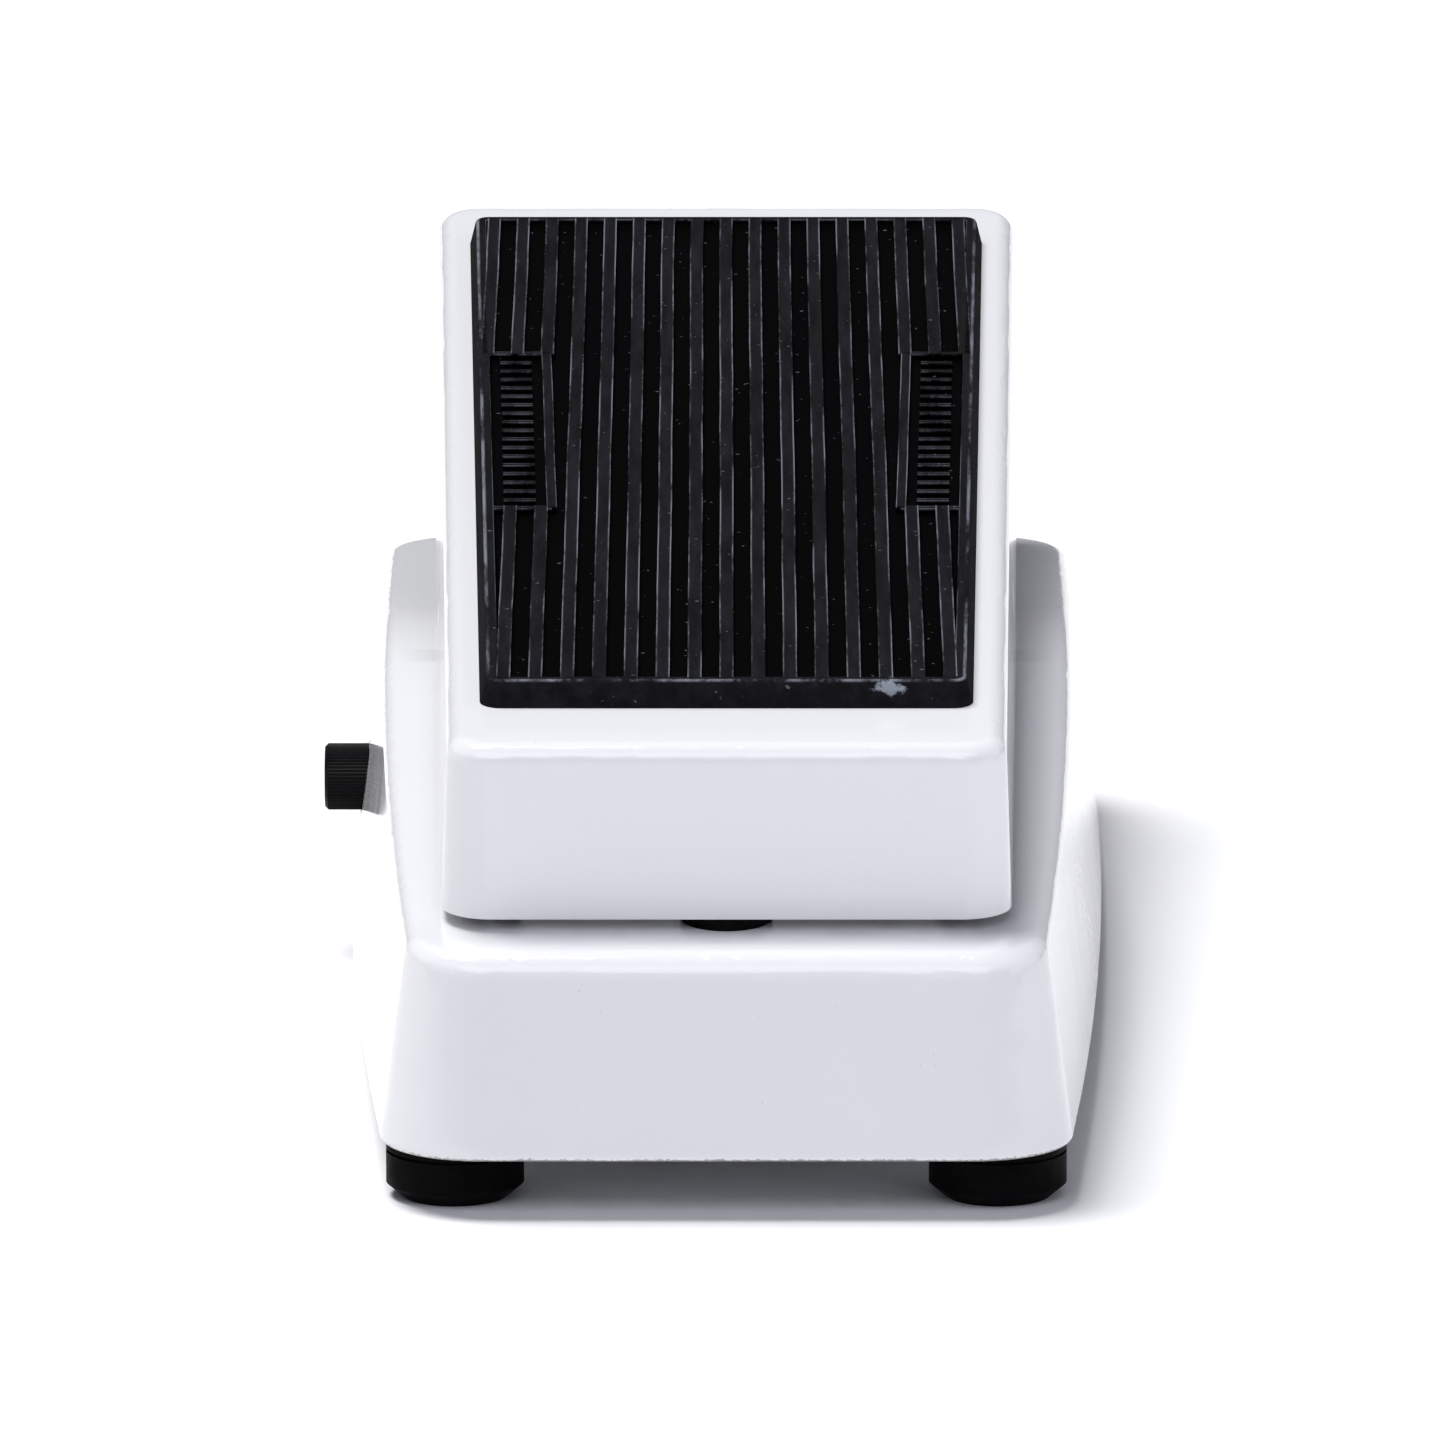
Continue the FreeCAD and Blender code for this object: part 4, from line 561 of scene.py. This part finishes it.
def rib_tree():
    """Turns centre lines into moulded ribs: wandering a little, rounded, and flared where they end."""
    tree = bpy.data.node_groups.new("moulded_ribs", "GeometryNodeTree")
    face = tree.interface
    face.new_socket("Geometry", in_out="INPUT", socket_type="NodeSocketGeometry")
    sizes = (("Half Width", 0.9), ("Top", 22.5), ("Floor", 21.6), ("Edge Radius", 0.22),
             ("Wander", 0.3), ("Wander Scale", 0.03), ("Flare", 1.0), ("Flare Length", 0.8),
             ("Step", 0.9), ("Seed", 3.0))
    for label, value in sizes:
        socket = face.new_socket(label, in_out="INPUT", socket_type="NodeSocketFloat")
        socket.default_value = value
    face.new_socket("Material", in_out="INPUT", socket_type="NodeSocketMaterial")
    face.new_socket("Geometry", in_out="OUTPUT", socket_type="NodeSocketGeometry")
    made = tree.nodes.new
    given = made("NodeGroupInput").outputs

    def join(source, target):
        tree.links.new(source, target)

    def work(operation, *values):
        node = made("ShaderNodeMath")
        node.operation = operation
        for socket, value in zip(node.inputs, values):
            if isinstance(value, (int, float)):
                socket.default_value = value
            else:
                join(value, socket)
        return node.outputs[0]

    to_curve = made("GeometryNodeMeshToCurve")
    join(given["Geometry"], to_curve.inputs["Mesh"])
    resample = made("GeometryNodeResampleCurve")
    resample.mode = "LENGTH"
    join(to_curve.outputs["Curve"], resample.inputs["Curve"])
    join(given["Step"], resample.inputs["Length"])

    position = made("GeometryNodeInputPosition")
    wander = made("ShaderNodeTexNoise")
    wander.noise_dimensions = "4D"
    wander.inputs["Detail"].default_value = 2.0
    join(position.outputs[0], wander.inputs["Vector"])
    join(given["Seed"], wander.inputs["W"])
    join(given["Wander Scale"], wander.inputs["Scale"])
    shift = work("MULTIPLY", work("SUBTRACT", wander.outputs["Fac"], 0.5), given["Wander"])
    offset = made("ShaderNodeCombineXYZ")
    join(work("MULTIPLY", shift, 2.0), offset.inputs["X"])
    move = made("GeometryNodeSetPosition")
    join(resample.outputs["Curve"], move.inputs["Geometry"])
    join(offset.outputs[0], move.inputs["Offset"])

    along = made("GeometryNodeSplineParameter")
    whole = made("GeometryNodeSplineLength")
    from_end = work("MINIMUM", along.outputs["Length"],
                    work("SUBTRACT", whole.outputs["Length"], along.outputs["Length"]))
    share = work("MINIMUM", work("DIVIDE", from_end, given["Flare Length"]), 1.0)
    flare = work("POWER", work("SUBTRACT", 1.0, share), 2.0)
    radius = made("GeometryNodeSetCurveRadius")
    join(move.outputs["Geometry"], radius.inputs["Curve"])
    join(work("ADD", 1.0, work("MULTIPLY", flare, given["Flare"])), radius.inputs["Radius"])
    upright = made("GeometryNodeSetCurveNormal")
    upright.mode = "Z_UP"
    join(radius.outputs["Curve"], upright.inputs["Curve"])

    depth = work("SUBTRACT", given["Top"], given["Floor"])
    profile = made("GeometryNodeCurvePrimitiveQuadrilateral")
    join(work("MULTIPLY", given["Half Width"], 2.0), profile.inputs["Width"])
    join(work("MULTIPLY", work("ADD", depth, 0.4), 2.0), profile.inputs["Height"])
    fillet = made("GeometryNodeFilletCurve")
    fillet.mode = "POLY"
    join(profile.outputs["Curve"], fillet.inputs["Curve"])
    join(given["Edge Radius"], fillet.inputs["Radius"])
    fillet.inputs["Count"].default_value = 4
    profile_place = made("GeometryNodeInputPosition")
    parts = made("ShaderNodeSeparateXYZ")
    join(profile_place.outputs[0], parts.inputs[0])
    keep_across = made("GeometryNodeStoreNamedAttribute")
    keep_across.inputs["Name"].default_value = "across"
    join(fillet.outputs["Curve"], keep_across.inputs["Geometry"])
    join(work("DIVIDE", parts.outputs["X"], given["Half Width"]), keep_across.inputs["Value"])

    sweep = made("GeometryNodeCurveToMesh")
    sweep.inputs["Fill Caps"].default_value = True
    join(upright.outputs["Curve"], sweep.inputs["Curve"])
    join(keep_across.outputs["Geometry"], sweep.inputs["Profile Curve"])

    place = made("GeometryNodeInputPosition")
    split = made("ShaderNodeSeparateXYZ")
    join(place.outputs[0], split.inputs[0])
    flat_top = work("MINIMUM", split.outputs["Z"], given["Top"])
    flat_foot = work("MAXIMUM", flat_top, work("SUBTRACT", given["Floor"], 0.4))
    rebuilt = made("ShaderNodeCombineXYZ")
    join(split.outputs["X"], rebuilt.inputs["X"])
    join(split.outputs["Y"], rebuilt.inputs["Y"])
    join(flat_foot, rebuilt.inputs["Z"])
    level_off = made("GeometryNodeSetPosition")
    join(sweep.outputs["Mesh"], level_off.inputs["Geometry"])
    join(rebuilt.outputs[0], level_off.inputs["Position"])

    after = made("GeometryNodeInputPosition")
    after_parts = made("ShaderNodeSeparateXYZ")
    join(after.outputs[0], after_parts.inputs[0])
    keep_level = made("GeometryNodeStoreNamedAttribute")
    keep_level.inputs["Name"].default_value = "level"
    join(level_off.outputs["Geometry"], keep_level.inputs["Geometry"])
    height_share = work("DIVIDE", work("SUBTRACT", after_parts.outputs["Z"], given["Floor"]), depth)
    join(height_share, keep_level.inputs["Value"])

    real = made("GeometryNodeRealizeInstances")
    join(keep_level.outputs["Geometry"], real.inputs["Geometry"])
    paint = made("GeometryNodeSetMaterial")
    join(real.outputs["Geometry"], paint.inputs["Geometry"])
    join(given["Material"], paint.inputs["Material"])
    out = made("NodeGroupOutput")
    join(paint.outputs["Geometry"], out.inputs["Geometry"])
    return tree


def moulded(tree, name, lines, material, **sizes):
    """The plain mesh that the rib tree makes of these lines."""
    source = bpy.data.objects.new(name, line_mesh(name, lines))
    bpy.context.scene.collection.objects.link(source)
    modifier = source.modifiers.new("ribs", "NODES")
    modifier.node_group = tree
    sockets = {s.name: s.identifier for s in tree.interface.items_tree if s.in_out == "INPUT"}
    for key, value in sizes.items():
        modifier[sockets[key.replace("_", " ")]] = value
    modifier[sockets["Material"]] = material
    graph = bpy.context.evaluated_depsgraph_get()
    mesh = bpy.data.meshes.new_from_object(source.evaluated_get(graph))
    source.modifiers.remove(modifier)
    bpy.data.objects.remove(source)
    return mesh


def rib_lines(z):
    """The long ribs between the grooves, cut short where the rim or a panel is in the way."""
    reach = PAD_SLOPE * PAD_T + RIM_WIDTH
    lines = []
    for i in range(-GROOVE_COUNT // 2, GROOVE_COUNT // 2 + 1):
        x = i * GROOVE_PITCH
        low, high = PAD_ENDS[0] + reach - 0.5, PAD_ENDS[1] - reach + 0.5
        while low < high and pad_half_width(low) - reach + 0.6 < abs(x):
            low += 0.5
        crosses_panel = abs(x) > pad_half_width(0.0) - reach - PANEL_WIDTH - PANEL_BORDER
        if not crosses_panel:
            lines.append(((x, low, z), (x, high, z)))
            continue
        if low < PANEL_ENDS[0] - 2.0:
            lines.append(((x, low, z), (x, PANEL_ENDS[0] + 0.5, z)))
        lines.append(((x, PANEL_ENDS[1] - 0.5, z), (x, high, z)))
    return lines


def panel_lines(z):
    """The raised border of each side panel, and the plain rungs in it."""
    reach = PAD_SLOPE * PAD_T + RIM_WIDTH
    border, ends, rungs = [], [], []
    for side in (-1, 1):
        def across_at(s, inset):
            return side * (pad_half_width(s) - reach - inset)

        low, high = PANEL_ENDS
        depth = PANEL_WIDTH + PANEL_BORDER / 2
        border.append(((across_at(low, depth), low, z), (across_at(high, depth), high, z)))
        for s in PANEL_ENDS:
            ends.append(((across_at(s, depth), s, z), (across_at(s, -0.4), s, z)))
        for k in range(RUNG_COUNT):
            s = low + (high - low) * (k + 1) / (RUNG_COUNT + 1)
            rungs.append(((across_at(s, 5.6), s, z), (across_at(s, 1.4), s, z)))
    return border, ends, rungs


def make_tread(material):
    top = DECK_TOP + PAD_T
    floor = top - GROOVE_DEPTH
    tree = rib_tree()
    border, ends, rungs = panel_lines(floor)
    meshes = [
        pad_body(),
        moulded(tree, "long_ribs", rib_lines(floor), material, Half_Width=RIB_HALF_WIDTH, Top=top,
                Floor=floor, Flare=1.0, Flare_Length=1.1, Wander=0.2, Step=0.8),
        moulded(tree, "panel_border", border, material, Half_Width=PANEL_BORDER / 2, Top=top,
                Floor=floor, Flare=0.0, Wander=0.15),
        moulded(tree, "panel_ends", ends, material, Half_Width=0.5, Top=top - 0.1, Floor=floor,
                Edge_Radius=0.15, Flare=0.0, Wander=0.0),
        moulded(tree, "panel_rungs", rungs, material, Half_Width=0.42, Top=top - 0.25, Floor=floor,
                Edge_Radius=0.14, Flare=0.0, Wander=0.0, Step=0.6),
    ]
    joined = bmesh.new()
    for mesh in meshes:
        joined.from_mesh(mesh)
        bpy.data.meshes.remove(mesh)
    joined.transform(deck_matrix())
    for f in joined.faces:
        f.smooth = f.calc_area() < BROAD_FACE
        f.material_index = 0
    mesh = bpy.data.meshes.new("tread")
    joined.to_mesh(mesh)
    joined.free()
    mesh.materials.append(material)
    mesh.set_sharp_from_angle(angle=TREAD_SHARP)
    tread = bpy.data.objects.new("ribbed_tread", mesh)
    bpy.context.scene.collection.objects.link(tread)
    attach(tread, "treadle")
    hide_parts("tread_pad")


# --- smooth shells --------------------------------------------------------------------------------
def smooth_shell(node, piece_name, body, material):
    """A welded copy of a casting, shaded smooth over its rounds and crisp at its edges."""
    mesh = frame["nodes"][node].data.copy()
    mesh.name = piece_name
    welded = bmesh.new()
    welded.from_mesh(mesh)
    bmesh.ops.remove_doubles(welded, verts=welded.verts, dist=WELD_GAP)
    for f in welded.faces:
        f.smooth = True
        f.material_index = 0
    welded.to_mesh(mesh)
    welded.free()
    mesh.materials.clear()
    mesh.materials.append(material)
    mesh.set_sharp_from_angle(angle=CASTING_SHARP)
    shell = bpy.data.objects.new(piece_name, mesh)
    bpy.context.scene.collection.objects.link(shell)
    even = shell.modifiers.new("even_shading", "WEIGHTED_NORMAL")
    even.mode = "FACE_AREA"
    even.weight = 100
    even.keep_sharp = True
    graph = bpy.context.evaluated_depsgraph_get()
    shell.data = bpy.data.meshes.new_from_object(shell.evaluated_get(graph))
    shell.modifiers.remove(even)
    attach(shell, body)
    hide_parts(node)


place_camera()
light_the_set()
lay_floor()
FINISHES = all_finishes()
finish_every_node(FINISHES)
smooth_shell("housing", "base_casting", "base", FINISHES["white_enamel"])
smooth_shell("treadle", "treadle_casting", "treadle", FINISHES["white_enamel"])
make_tread(FINISHES["pad_rubber"])
